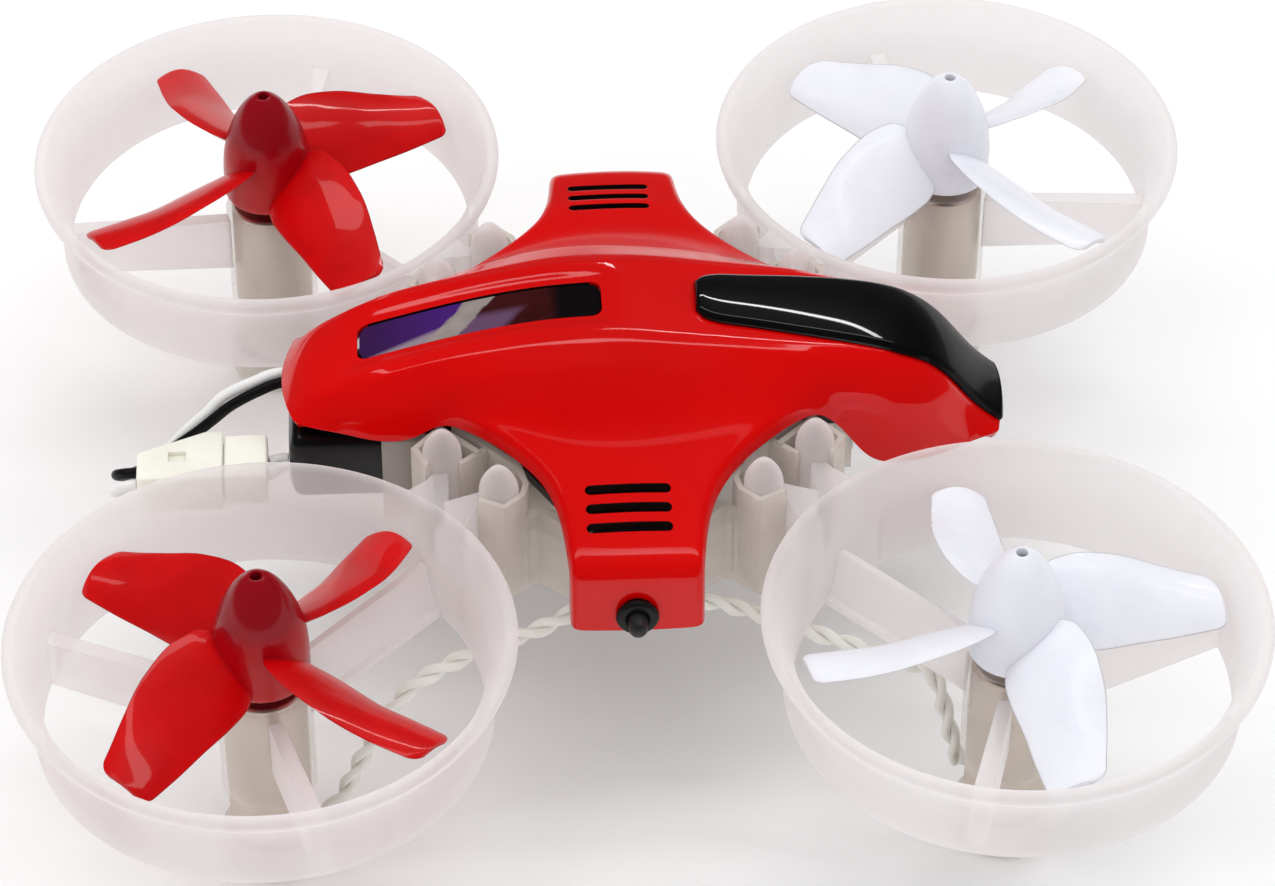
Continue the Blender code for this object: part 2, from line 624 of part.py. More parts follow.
# columns of the cage: x, ridge half width, then (y, z) of the three rows below the ridge
SPINE = [
    (-25.5, 3.2, (3.9, 0.1), (4.3, 0.1), (4.7, 0.08)),
    (-24.75, 3.3, (4.1, 0.85), (4.7, 0.5), (5.2, 0.05)),
    (-23.6, 3.5, (4.3, 1.8), (5.1, 0.9), (5.6, 0.0)),
    (-21.6, 3.7, (4.5, 2.75), (5.5, 1.4), (6.1, 0.0)),
    (-19.0, 3.75, (4.6, 3.85), (6.0, 2.1), (6.8, 0.0)),
    (-16.0, 3.7, (4.6, 4.95), (6.4, 2.8), (7.25, 0.0)),
    (-14.0, 3.65, (4.6, 5.5), (6.3, 3.9), (7.3, 1.9)),
    (-12.3, 3.6, (4.6, 5.9), (6.2, 4.9), (7.4, 3.4)),
    (-9.5, 3.6, (4.7, 6.55), (6.4, 5.7), (8.3, 4.2)),
    (-6.8, 3.65, (4.7, 7.1), (6.7, 6.25), (8.6, 4.8)),
    (-4.6, 3.7, (4.8, 7.32), (6.85, 6.5), (8.9, 5.1)),
    (-2.4, 3.8, (4.8, 7.39), (6.9, 6.6), (9.0, 5.2)),
    (0.1, 3.9, (4.9, 7.34), (6.95, 6.45), (9.0, 5.15)),
    (2.5, 4.0, (4.9, 7.14), (6.95, 6.2), (8.95, 5.0)),
    (4.7, 4.0, (4.9, 6.8), (6.9, 5.9), (8.8, 4.75)),
    (6.9, 4.0, (4.9, 6.47), (6.75, 5.5), (8.6, 4.35)),
    (9.6, 4.0, (4.9, 6.08), (6.5, 4.95), (8.3, 3.7)),
    (12.5, 3.95, (4.8, 5.66), (6.3, 4.4), (7.4, 3.1)),
    (14.3, 3.9, (4.7, 5.35), (6.2, 3.7), (7.1, 1.9)),
    (16.2, 3.8, (4.7, 4.8), (6.3, 2.8), (7.05, -0.3)),
    (18.0, 3.7, (4.6, 4.4), (6.5, 1.6), (7.2, -3.3)),
    (20.5, 3.6, (4.5, 3.65), (6.2, 1.0), (7.0, -3.6)),
    (22.6, 3.3, (4.2, 2.6), (5.8, 0.0), (6.5, -3.6)),
    (24.3, 3.1, (3.9, 0.8), (5.1, -1.2), (5.9, -3.5)),
    (26.3, 3.0, (3.7, -1.8), (4.6, -2.6), (5.1, -3.4)),
    (28.4, 2.9, (3.4, -3.45), (3.8, -3.45), (4.2, -3.4)),
]
TAB_FIRST, TAB_LAST = 7, 17       # the columns of the spine that carry the side tabs
# rows of a side tab: rear end (x, y, z), middle (y, z), front end (x, y, z)
TAB = [
    ((-10.0, 9.2, 3.5), (11.0, 4.0), (10.3, 9.1, 3.05)),
    ((-7.75, 11.4, 3.4), (12.8, 3.45), (8.05, 11.4, 2.95)),
    ((-5.9, 13.8, 3.15), (14.6, 3.15), (6.25, 13.9, 2.75)),
    ((-4.95, 16.3, 2.6), (16.7, 2.75), (5.2, 16.4, 2.4)),
    ((-4.55, 19.0, 2.0), (19.1, 2.1), (4.72, 19.0, 1.9)),
    ((-4.42, 21.3, 1.45), (21.4, 1.6), (4.55, 21.3, 1.4)),
    ((-4.36, 22.35, 0.95), (22.5, 1.1), (4.5, 22.35, 0.9)),
    ((-4.36, 22.8, -0.4), (22.95, -0.4), (4.48, 22.8, -0.4)),
    ((-4.36, 23.1, -2.2), (23.25, -2.2), (4.48, 23.1, -2.2)),
    ((-4.36, 23.3, -3.95), (23.45, -3.95), (4.48, 23.3, -3.95)),
]
# (outwards, inwards from the face) of the two loops of the tab's rolled edge
SKIRT = ((0.38, 0.45), (0.45, 1.35))
# From this row on, counting the spine's lowest row as 0, the edge rolls straight along x.
STRAIGHT_ROW = 7
# inward direction of the rolled edge where the tab bends down; (0, 0, -1) above these rows
SKIRT_BEND = {6: (0, -0.45, -0.9), 7: (0, -0.8, -0.6)}
SKIRT_BELOW_BEND = (0, -1, 0)
VENT_Y = (15.85, 17.45, 19.05)
VENT_X = (-3.45, 2.75)
VENT_WIDTH = 0.8
WINDOW_REAR, WINDOW_FRONT, WINDOW_HALF = -19.9, -1.4, 2.05
WINDOW_GAP = 0.3                  # pane's edge inside the window's outline
WINDOW_CORNER = 0.8
PANEL_SPAN = (5.3, 28.0)
# half width of the windscreen panel against x
panel_half = smooth_curve([
    (5.3, 1.5), (5.9, 2.25), (7.2, 2.65), (9, 2.8), (13, 3.2), (17, 3.5), (20, 3.6),
    (22.5, 3.35), (25, 3.1), (29, 3.0),
])
# ring section along its pin: radius, distance outwards
GROMMET_PROFILE = [
    (1.35, 0.55), (1.52, 0.4), (1.52, 0.1), (1.22, 0.04), (1.22, -1.15), (0.78, -1.15),
    (0.78, 0.55),
]


def window_half(x):
    """Half width of the rear pane, with rounded corners."""
    inside = min(x - WINDOW_REAR, WINDOW_FRONT - x) - WINDOW_GAP
    half = WINDOW_HALF - WINDOW_GAP
    if inside < WINDOW_CORNER:
        reach = max(0.0, WINDOW_CORNER**2 - (WINDOW_CORNER - inside) ** 2)
        half -= WINDOW_CORNER - math.sqrt(reach)
    return half


def spine_points(x, half, *lower):
    """A column of the spine, from the middle outwards; the columns bow at both ends."""
    rear_bow = max(0.0, min(1.0, (-x - 19.0) / 4.0)) * 0.6
    front_bow = max(0.0, min(1.0, (x - 24.0) / 3.0)) * -0.35
    ridge, hollow = ridge_z(x), dish(x)
    rows = [(0, ridge + 0.1 - hollow), (half * 0.5, ridge + 0.08 - hollow),
            (half, ridge + 0.02), *lower]
    return [(x + (rear_bow + front_bow) * (y / 3.6) ** 2, y, z) for y, z in rows]


def tab_point(rear, middle, front, part):
    """A point of a tab's row, bulged towards the row's middle."""
    x, y, z = (start + (end - start) * part for start, end in zip(rear, front))
    weight = 1 - (2 * part - 1) ** 2
    return x, y + (middle[0] - y) * weight, z + (middle[1] - z) * weight


def canopy_half(name):
    """Surface of the left half of the canopy, open at y = 0."""
    verts, faces = [], []

    def add(x, y, z):
        verts.append((x, y, z))
        return len(verts) - 1

    spine = [[add(*point) for point in spine_points(*column)] for column in SPINE]
    for here, ahead in zip(spine, spine[1:]):
        for j in range(len(here) - 1):
            faces.append([here[j], ahead[j], ahead[j + 1], here[j + 1]])

    stations = [column[0] for column in SPINE[TAB_FIRST:TAB_LAST + 1]]
    length = stations[-1] - stations[0]
    tab = [[column[-1] for column in spine[TAB_FIRST:TAB_LAST + 1]]]
    for row in TAB:
        tab.append([add(*tab_point(*row, (x - stations[0]) / length)) for x in stations])
    for row, below in zip(tab, tab[1:]):
        for i in range(len(row) - 1):
            faces.append([row[i], row[i + 1], below[i + 1], below[i]])

    # rolled edges down the rear and the front side of the tab
    for end, sense, neighbour in ((0, -1, TAB_FIRST - 1), (-1, 1, TAB_LAST + 1)):
        edge = [row[end] for row in tab]
        loops = []
        for k, index in enumerate(edge):
            before, after = edge[max(k - 1, 0)], edge[min(k + 1, len(edge) - 1)]
            along = Vector(verts[after]) - Vector(verts[before])
            if k < STRAIGHT_ROW:
                outward = Vector((sense * abs(along.y), abs(along.x), 0)).normalized()
            else:
                outward = Vector((sense, 0, 0))
            unbent = (0, 0, -1) if k < min(SKIRT_BEND) else SKIRT_BELOW_BEND
            inward = Vector(SKIRT_BEND.get(k, unbent))
            point = Vector(verts[index])
            loops.append([index] + [add(*(point + outward * out + inward * down))
                                    for out, down in SKIRT])
        for previous, loop in zip(loops, loops[1:]):
            for s in range(len(SKIRT)):
                faces.append([previous[s], loop[s], loop[s + 1], previous[s + 1]])
        # the corner where the rolled edge runs out into the side of the spine
        faces.append([spine[neighbour][-1], *loops[0]])

    half = new_mesh(name, [(x, y, z + RIM_Z) for x, y, z in verts], faces)
    # the open surface has no inside, so its topmost face settles which way is out
    shape = bmesh.new()
    shape.from_mesh(half.data)
    top = max(shape.faces, key=lambda face: face.calc_center_median().z)
    if top.normal.z < 0:
        bmesh.ops.reverse_faces(shape, faces=shape.faces)
    shape.to_mesh(half.data)
    shape.free()

    mirror = half.modifiers.new("Mirror", "MIRROR")
    mirror.use_axis = (False, True, False)
    mirror.use_clip = True
    mirror.merge_threshold = 0.00005
    return half


def canopy_cutters():
    """Vents and pin eyes on both sides, and the rear window's opening."""
    cutters = []
    for side in (1, -1):
        for y in VENT_Y:
            outline = rounded_slot(*VENT_X, side * y, VENT_WIDTH)
            cutters.append(prism("vent", outline, -1.5, 6))
        eye_at = (0, side * 22.8, RIM_Z + PIN_Z)
        cutters.append(rod("eye", 1.3, 3.0, eye_at, (0, 1, 0), 20))
    opening = rounded_rect(WINDOW_REAR + 0.2, WINDOW_FRONT - 0.2, -WINDOW_HALF + 0.15,
                           WINDOW_HALF - 0.15, radius=WINDOW_CORNER, steps=4)
    cutters.append(prism("opening", opening, 1.5, 12))
    return cutters


def patch(name, surface, x_span, half_width, low, high, columns, rows):
    """A plate that follows a surface over x_span and +-half_width(x), from low to high above."""
    mesh = surface.data
    tree = BVHTree.FromPolygons([vert.co for vert in mesh.vertices],
                                [tuple(polygon.vertices) for polygon in mesh.polygons])

    def surface_at(x, y):
        """Point, in mm, and normal of the surface under (x, y)."""
        hit = tree.ray_cast(Vector((x * MM, y * MM, 0.1)), Vector((0, 0, -1)))
        if hit[0] is None:
            # off the surface's edge: its nearest point
            hit = tree.find_nearest(Vector((x * MM, y * MM, (ridge_z(x) + RIM_Z) * MM)))
        return hit[0] / MM, hit[1]

    start, end = x_span
    verts, faces, grid = [], [], {}
    for layer, lift in enumerate((low, high)):
        for i in range(columns + 1):
            x = start + (end - start) * (i / columns)
            # both ends are sampled just inside the span
            sampled_x = min(max(x, start + 0.02), end - 0.02)
            for j in range(rows + 1):
                point, normal = surface_at(sampled_x, (2 * j / rows - 1) * half_width(x))
                grid[layer, i, j] = len(verts)
                verts.append(tuple(point + normal * lift))
    for i in range(columns):
        for j in range(rows):
            faces.append([grid[0, i, j], grid[0, i, j + 1], grid[0, i + 1, j + 1],
                          grid[0, i + 1, j]])
            faces.append([grid[1, i, j], grid[1, i + 1, j], grid[1, i + 1, j + 1],
                          grid[1, i, j + 1]])
    for i in range(columns):
        for j in (0, rows):
            faces.append([grid[0, i, j], grid[0, i + 1, j], grid[1, i + 1, j], grid[1, i, j]])
    for j in range(rows):
        for i in (0, columns):
            faces.append([grid[0, i, j], grid[0, i, j + 1], grid[1, i, j + 1], grid[1, i, j]])
    return new_mesh(name, verts, faces)


def build_canopy():
    half = canopy_half("canopy_half")
    shell = half.modifiers.new("Solidify", "SOLIDIFY")
    shell.thickness = CANOPY_THICK * MM
    shell.offset = -1
    shell.use_even_offset = False
    canopy = meshed(half)
    outer = meshed(canopy_half("canopy_outer"))
    finish(cut(canopy, canopy_cutters()), "canopy", "canopy_red")

    panel = patch("panel", outer, PANEL_SPAN, panel_half, low=0.2, high=0.55,
                  columns=16, rows=4)
    finish(panel, "windscreen_panel", "panel_black")
    pane_span = (WINDOW_REAR + WINDOW_GAP, WINDOW_FRONT - WINDOW_GAP)
    pane = patch("window", outer, pane_span, window_half, low=-0.5, high=-0.1,
                 columns=10, rows=2)
    finish(pane, "rear_window", "window_smoke")


def build_grommets():
    for side, side_name in ((1, "left"), (-1, "right")):
        grommet = turned("grommet", GROMMET_PROFILE, (0, 0, 0), 20)
        grommet.matrix_world = axis_frame((0, side * 23.4, RIM_Z + PIN_Z), (0, side, 0))
        finish(grommet, "grommet_" + side_name, "rubber_black")


# ---------------------------------------------------------------- electronics
# left half of the flight board's plan: x, y
BOARD_HALF = [
    (15.6, 3.9), (13.1, 4.0), (10.1, 7.0), (7.6, 8.8), (5.4, 12.3), (2.9, 15.6), (2.2, 19.6),
    (-2.2, 19.6), (-2.9, 15.6), (-5.4, 12.3), (-7.6, 8.8), (-9.6, 7.3), (-9.6, 6.8), (5.0, 6.8),
]
CHIP_LOW = BOARD_LOW + BOARD_THICK + 0.05
# parts on the flight board: object, material, x span, y span, height
CHIPS = (
    ("board_processor", "chip_black", (7.6, 11.8), (-2.1, 2.1), 0.9),
    ("board_gyro", "chip_black", (5.6, 7.0), (-1.0, 1.0), 0.7),
    ("board_receiver", "chip_black", (8.2, 11.4), (2.7, 5.4), 0.9),
    ("board_driver_left", "chip_black", (-2.0, 2.0), (8.6, 11.2), 0.9),
    ("board_driver_right", "chip_black", (-2.0, 2.0), (-11.2, -8.6), 0.9),
    ("board_crystal", "metal_can", (8.0, 11.2), (-4.6, -2.9), 1.1),
    ("board_capacitor", "housing_white", (5.6, 7.0), (-5.0, -3.0), 1.2),
    ("board_lamp", "housing_white", (13.2, 14.8), (-0.8, 0.8), 0.8),
)


def build_boards():
    board = prism("board", closed_over_x(BOARD_HALF), BOARD_LOW, BOARD_LOW + BOARD_THICK)
    finish(board, "flight_board", "board_black")
    upper_plan = rounded_rect(-18.6, -9.7, -2.5, 2.5, radius=0.5, steps=2)
    finish(prism("board", upper_plan, 1.55, 2.2), "upper_board", "board_purple")
    for name, slot, x_span, y_span, height in CHIPS:
        chip = block("chip", x_span, y_span, (CHIP_LOW, CHIP_LOW + height), bevel=0.12)
        finish(chip, name, slot)


# ---------------------------------------------------------------- battery, plug and wires
# plan of the socket's housing: x, y
SOCKET_PLAN = [
    (-29.9, -7.9), (-29.9, -2.9), (-31.4, -2.9), (-36.2, -4.95), (-36.2, -7.75), (-35.9, -7.9),
]
BATTERY_LEAD_R = 0.36
BATTERY_LEAD_Z = -3.8
BOARD_LEAD_R = 0.42
# leads from the socket to the board: object, material, (x, y, z) route
BOARD_LEADS = (
    ("board_lead_black", "lead_black", [
        (-36.3, -5.55, -3.7), (-37.2, -5.5, -3.8), (-37.85, -4.95, -4.4), (-37.3, -4.0, -5.3),
        (-35.8, -2.8, -5.7), (-34.0, -2.1, -4.7), (-32.0, -1.9, -3.2), (-30.6, -1.4, -2.3),
        (-29.3, -0.8, -1.55), (-27.4, -0.1, -0.9), (-25.3, 0.5, -0.5), (-22.0, 0.55, -0.5),
        (-12.5, -0.2, -0.5), (-6.0, -0.5, -0.1), (0.0, -0.6, 0.25), (5.0, -0.6, 0.25)]),
    ("board_lead_white", "lead_white", [
        (-36.3, -6.65, -3.85), (-37.3, -6.65, -4.05), (-38.05, -6.1, -4.9), (-37.9, -4.9, -6.1),
        (-36.4, -2.9, -6.7), (-34.5, -1.4, -5.7), (-32.9, -0.85, -4.1), (-31.2, -0.4, -2.6),
        (-29.8, 0.15, -1.4), (-27.6, 0.95, -0.8), (-25.2, 1.6, -0.5), (-19.0, 1.5, -0.5),
        (-12.5, 0.9, -0.5), (-6.0, 0.6, -0.1), (0.0, 0.6, 0.25), (5.0, 0.6, 0.25)]),
)
# Route of a motor's twisted pair, from the board down through the frame to the motor's foot,
# for the left side: (x from the middle forwards or backwards, y, z)
PAIR_START = [(1.25, 13.2, -3.2), (1.3, 14.3, -4.9), (2.0, 15.6, -6.3), (3.2, 16.9, -7.0)]
PAIR_FRONT = [
    (5.8, 17.4, -7.3), (8.0, 17.2, -8.3), (10.4, 17.7, -9.0), (13.0, 18.6, -9.5),
    (16.4, 19.8, -10.0), (19.5, 20.9, -10.4), (21.5, 21.6, -11.0), (22.3, 22.3, -12.5),
    (22.9, 23.0, -15.0), (23.4, 23.5, -17.0), (23.75, 23.85, -18.4),
]
PAIR_REAR = [
    (4.6, 18.0, -7.4), (6.9, 18.7, -8.2), (9.8, 19.4, -8.85), (12.6, 20.3, -9.4),
    (16.1, 21.6, -10.6), (17.7, 22.4, -12.1), (19.1, 23.0, -14.2), (20.6, 23.7, -17.0),
    (21.8, 24.25, -19.4), (23.2, 24.95, -20.6),
]
# two-lobed section of a twisted pair
PAIR_SECTION = [
    (0.68, 0.0), (0.45, 0.3), (0.0, 0.14), (-0.45, 0.3), (-0.68, 0.0), (-0.45, -0.3),
    (0.0, -0.14), (0.45, -0.3),
]
PAIR_STATIONS = 30
PAIR_TURNS = 6


def raised(points):
    """Points with z from the lips, as points with z from the ground."""
    return [(x, y, z + RIM_Z) for x, y, z in points]


def build_battery():
    battery = block("battery", (-25.0, 3.0), (-5.75, 5.75), (-7.25, -1.05),
                    bevel=0.9, segments=2)
    finish(battery, "battery", "battery_black")


def build_connector():
    socket = prism("socket", SOCKET_PLAN, -5.5, -2.2)
    mouth = block("mouth", (-32.1, -29.0), (-7.3, -3.6), (-4.95, -2.75))
    finish(cut(socket, [mouth]), "socket_housing", "housing_white")
    plug = block("plug", (-29.8, -26.6), (-7.7, -3.1), (-5.3, -2.35), bevel=0.2)
    nose = block("plug_nose", (-31.8, -29.2), (-7.2, -3.7), (-4.9, -2.8))
    finish(joined(plug, [nose]), "plug_housing", "housing_white")


def build_battery_leads():
    """Two leads that draw together from the plug to the battery."""
    for letter, y in (("a", -4.3), ("b", -5.1)):
        route = [(-26.5, 2 * y + 4.0), (-26.1, 1.7 * y + 2.9), (-25.6, 1.2 * y + 0.9),
                 (-25.1, y)]
        points = raised([(x, across, BATTERY_LEAD_Z) for x, across in route])
        finish(wire(points, BATTERY_LEAD_R), "battery_lead_" + letter, "lead_white")


def build_board_leads():
    for name, slot, route in BOARD_LEADS:
        finish(wire(smooth_path(raised(route), 34), BOARD_LEAD_R), name, slot)


def build_motor_leads(name, side_x, side_y):
    """A twisted pair as one body: the two-lobed section turned as it follows the route."""
    route = PAIR_START + (PAIR_FRONT if side_x > 0 else PAIR_REAR)
    path = smooth_path(raised([(side_x * x, side_y * y, z) for x, y, z in route]),
                       PAIR_STATIONS)
    last = PAIR_STATIONS - 1
    side, verts, faces = Vector((0.3, -0.5, 0.81)).normalized(), [], []
    for i, centre in enumerate(path):
        along = (path[min(i + 1, last)] - path[max(i - 1, 0)]).normalized()
        side = (side - along * side.dot(along)).normalized()
        other = along.cross(side)
        angle = 2 * math.pi * PAIR_TURNS * i / last
        cos_angle, sin_angle = math.cos(angle), math.sin(angle)
        for u, v in PAIR_SECTION:
            verts.append(tuple(centre + side * (u * cos_angle - v * sin_angle)
                               + other * (u * sin_angle + v * cos_angle)))
    count = len(PAIR_SECTION)
    for i in range(last):
        here, ahead = i * count, (i + 1) * count
        for k in range(count):
            after = (k + 1) % count
            faces.append([here + k, here + after, ahead + after, ahead + k])
    for s in (0, last * count):
        faces += [[s + 1, s, s + 7], [s + 1, s + 7, s + 6, s + 2],
                  [s + 2, s + 6, s + 5, s + 3], [s + 3, s + 5, s + 4]]
    finish(new_mesh("pair", verts, faces), "motor_leads_" + name, "lead_white")


# ---------------------------------------------------------------- the whole craft
for name, (side_x, side_y, sense, angle) in ROTORS.items():
    rotor_at = (side_x * PITCH, side_y * PITCH, RIM_Z)
    build_duct(name, side_x, side_y, sense)
    build_motor(name, rotor_at)
    build_propeller(name, side_x, sense, angle, rotor_at)
    build_motor_leads(name, side_x, side_y)
build_frame()
build_canopy()
build_grommets()
build_boards()
build_battery()
build_connector()
build_battery_leads()
build_board_leads()

for leftover in tools.objects:
    leftover.hide_render = True
    leftover.display_type = "WIRE"
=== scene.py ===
"""Looks for a palm-size ducted quadcopter, built round its CAD frame.

+X is the craft's front, +Y its left side and +Z up; its feet stand at z = 0.
Lengths are millimetres, turned into metres by MM. Lengths in materials and on the stage are metres.
"""

import json
import math

import bmesh
import bpy
from mathutils import Matrix, Vector
from mathutils.bvhtree import BVHTree

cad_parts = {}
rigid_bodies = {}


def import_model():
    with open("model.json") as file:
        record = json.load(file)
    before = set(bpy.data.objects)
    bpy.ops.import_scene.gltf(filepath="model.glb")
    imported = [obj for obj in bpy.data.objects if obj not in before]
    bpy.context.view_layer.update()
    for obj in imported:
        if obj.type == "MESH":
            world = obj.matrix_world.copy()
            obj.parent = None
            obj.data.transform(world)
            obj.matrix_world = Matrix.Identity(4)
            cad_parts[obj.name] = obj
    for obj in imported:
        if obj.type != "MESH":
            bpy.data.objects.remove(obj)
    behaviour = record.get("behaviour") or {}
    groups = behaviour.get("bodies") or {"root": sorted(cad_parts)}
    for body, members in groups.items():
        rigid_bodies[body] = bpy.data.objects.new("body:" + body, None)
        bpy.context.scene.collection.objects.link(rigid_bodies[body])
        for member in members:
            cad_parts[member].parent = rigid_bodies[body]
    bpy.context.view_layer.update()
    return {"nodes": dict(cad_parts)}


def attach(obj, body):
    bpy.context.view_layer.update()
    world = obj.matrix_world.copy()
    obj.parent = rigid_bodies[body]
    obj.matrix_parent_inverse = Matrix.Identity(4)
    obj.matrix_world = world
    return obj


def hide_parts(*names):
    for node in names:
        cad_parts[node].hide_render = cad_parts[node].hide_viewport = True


scene = bpy.context.scene
for leftover in list(scene.objects):
    bpy.data.objects.remove(leftover, do_unlink=True)
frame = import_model()
looks = bpy.data.collections.new("looks")
scene.collection.children.link(looks)

# --- driving dimensions ---
MM = 0.001
RIM_Z = 22.0          # height of the duct lips above the feet
PITCH = 26.8          # rotor axes stand at +-PITCH in x and y
LIP_R = 18.25         # outer radius of a duct's lip
WALL_R = 16.45        # outer radius of a duct's wall
BORE_R = 15.75        # inner radius of a duct's wall
DUCT_H = 7.8          # height of a duct
RIM_STEPS = 112       # segments round a duct
PROP_R = 15.35        # blade tip radius
SPINNER_R = 3.45
SPINNER_TOP = 5.9     # above the lip
MOTOR_R = 3.0
MOTOR_TOP = -4.6      # measured from the lip, as is MOTOR_END
MOTOR_END = -19.6
SLEEVE_R = 3.45
PEG_U = 16.45         # pegs of a duct, along the diagonal from the middle of the craft
PEG_W = 2.85          # and across it
PEG_R = 1.45
PEG_TOP = 3.3         # top of a peg's dome
CUP_TOP = 1.3         # rim of the frame's pockets, which hold the pegs
EYE_Z = -2.45         # the side pins and grommets, measured from the lip
# side in x and in y, turning sense seen from above (+1 anticlockwise), blade angle at rest
ROTORS = {
    "front_right": (1, -1, 1, 17.3),
    "front_left": (1, 1, -1, 36.8),
    "rear_left": (-1, 1, 1, 35.8),
    "rear_right": (-1, -1, -1, 45.0),
}
SIDES = ((1, "left"), (-1, "right"))


# --- curves and outlines ---
def curve_through(pairs):
    """Smooth curve through (x, value) pairs: cubic Hermite with limited slopes."""
    xs = [pair[0] for pair in pairs]
    ys = [pair[1] for pair in pairs]
    count = len(xs)
    steps = [(ys[i + 1] - ys[i]) / (xs[i + 1] - xs[i]) for i in range(count - 1)]
    slopes = [steps[0]]
    for before, after in zip(steps, steps[1:]):
        turning = before * after <= 0
        slopes.append(0.0 if turning else 2 * before * after / (before + after))
    slopes.append(steps[-1])

    def value(x):
        if x <= xs[0]:
            return ys[0]
        if x >= xs[-1]:
            return ys[-1]
        i = max(k for k in range(count - 1) if xs[k] <= x)
        width = xs[i + 1] - xs[i]
        t = (x - xs[i]) / width
        return ((2 * t**3 - 3 * t**2 + 1) * ys[i] + (t**3 - 2 * t**2 + t) * width * slopes[i]
                + (-2 * t**3 + 3 * t**2) * ys[i + 1] + (t**3 - t**2) * width * slopes[i + 1])

    return value


def fillet(points, radius=0.0, steps=5):
    """A profile of (radius, z) with rounded corners; a third value is a corner's own rounding."""
    out = []
    for i, point in enumerate(points):
        rounding = point[2] if len(point) > 2 else radius
        if i in (0, len(points) - 1) or rounding == 0:
            out.append((point[0], point[1]))
            continue
        before, corner, after = (Vector(points[k][:2]) for k in (i - 1, i, i + 1))
        back, ahead = before - corner, after - corner
        reach = min(rounding, min(back.length, ahead.length) * 0.48)
        back.normalize()
        ahead.normalize()
        for k in range(steps + 1):
            t = k / steps
            place = ((corner + back * reach) * (1 - t) ** 2 + corner * 2 * t * (1 - t)
                     + (corner + ahead * reach) * t**2)
            out.append((place.x, place.y))
    return out


def rounded_slot(x0, x1, y, width, steps):
    r = width / 2
    angles = [math.pi * (k / steps - 0.5) for k in range(steps + 1)]
    right = [(x1 - r + r * math.cos(a), y + r * math.sin(a)) for a in angles]
    left = [(x0 + r - r * math.cos(a), y - r * math.sin(a)) for a in angles]
    return right + left


def rounded_rect(x0, x1, y0, y1, r, steps):
    out = []
    corners = ((x1 - r, y1 - r, 0), (x0 + r, y1 - r, 90), (x0 + r, y0 + r, 180), (x1 - r, y0 + r, 270))
    for x, y, start in corners:
        for k in range(steps + 1):
            angle = math.radians(start + 90 * k / steps)
            out.append((x + r * math.cos(angle), y + r * math.sin(angle)))
    return out


def strip(points, half):
    """Plan outline of a wall of the given half thickness along points."""
    left, right = [], []
    for i, (x, y) in enumerate(points):
        before, after = points[max(i - 1, 0)], points[min(i + 1, len(points) - 1)]
        along = Vector((after[0] - before[0], after[1] - before[1])).normalized()
        left.append((x - along.y * half, y + along.x * half))
        right.append((x + along.y * half, y - along.x * half))
    return left + right[::-1]


def smooth_path(points, count):
    """Points along a Catmull-Rom curve through the given points, evenly spaced along it."""
    p = [Vector(point) for point in points]
    p = [2 * p[0] - p[1]] + p + [2 * p[-1] - p[-2]]
    dense = []
    for i in range(1, len(p) - 2):
        for k in range(24):
            t = k / 24
            dense.append(0.5 * (2 * p[i] + (p[i + 1] - p[i - 1]) * t
                                + (2 * p[i - 1] - 5 * p[i] + 4 * p[i + 1] - p[i + 2]) * t * t
                                + (3 * p[i] - p[i - 1] - 3 * p[i + 1] + p[i + 2]) * t**3))
    dense.append(p[-2].copy())
    run = [0.0]
    for start, end in zip(dense, dense[1:]):
        run.append(run[-1] + (end - start).length)
    out, j = [], 0
    for k in range(count):
        target = run[-1] * k / (count - 1)
        while j < len(run) - 2 and run[j + 1] < target:
            j += 1
        part = (target - run[j]) / max(run[j + 1] - run[j], 1e-9)
        out.append(dense[j].lerp(dense[j + 1], min(max(part, 0), 1)))
    return out


def strand(points, count, offset, turns, phase):
    """One strand of a twisted pair: the path, carried round it at the given offset."""
    path = smooth_path(points, count)
    side = Vector((0.3, -0.5, 0.81)).normalized()
    out = []
    for i, point in enumerate(path):
        along = (path[min(i + 1, count - 1)] - path[max(i - 1, 0)]).normalized()
        side = (side - along * side.dot(along)).normalized()
        across = along.cross(side)
        angle = 2 * math.pi * turns * i / (count - 1) + phase
        out.append(point + (side * math.cos(angle) + across * math.sin(angle)) * offset)
    return out


# --- solids ---
def metres(point):
    return tuple(value * MM for value in point)


def link(name, data, collection=looks):
    obj = bpy.data.objects.new(name, data)
    collection.objects.link(obj)
    return obj


def face_outwards(mesh, weld=False):
    """Turns all faces outwards, after welding the seams if asked."""
    work = bmesh.new()
    work.from_mesh(mesh)
    if weld:
        bmesh.ops.remove_doubles(work, verts=work.verts, dist=1e-6)
    bmesh.ops.recalc_face_normals(work, faces=work.faces)
    work.to_mesh(mesh)
    work.free()


def new_mesh(name, points, faces, smooth=True, collection=looks):
    mesh = bpy.data.meshes.new(name)
    mesh.from_pydata([metres(point) for point in points], [], faces)
    face_outwards(mesh)
    if smooth:
        mesh.shade_smooth()
    return link(name, mesh, collection)


def meshed(obj):
    """The evaluated object as a plain mesh with its seams welded. The original is removed."""
    bpy.context.view_layer.update()
    graph = bpy.context.evaluated_depsgraph_get()
    mesh = bpy.data.meshes.new_from_object(obj.evaluated_get(graph))
    face_outwards(mesh, weld=True)
    name, world_place, home = obj.name, obj.matrix_world.copy(), obj.users_collection[0]
    bpy.data.objects.remove(obj, do_unlink=True)
    plain = link(name, mesh, home)
    plain.matrix_world = world_place
    return plain


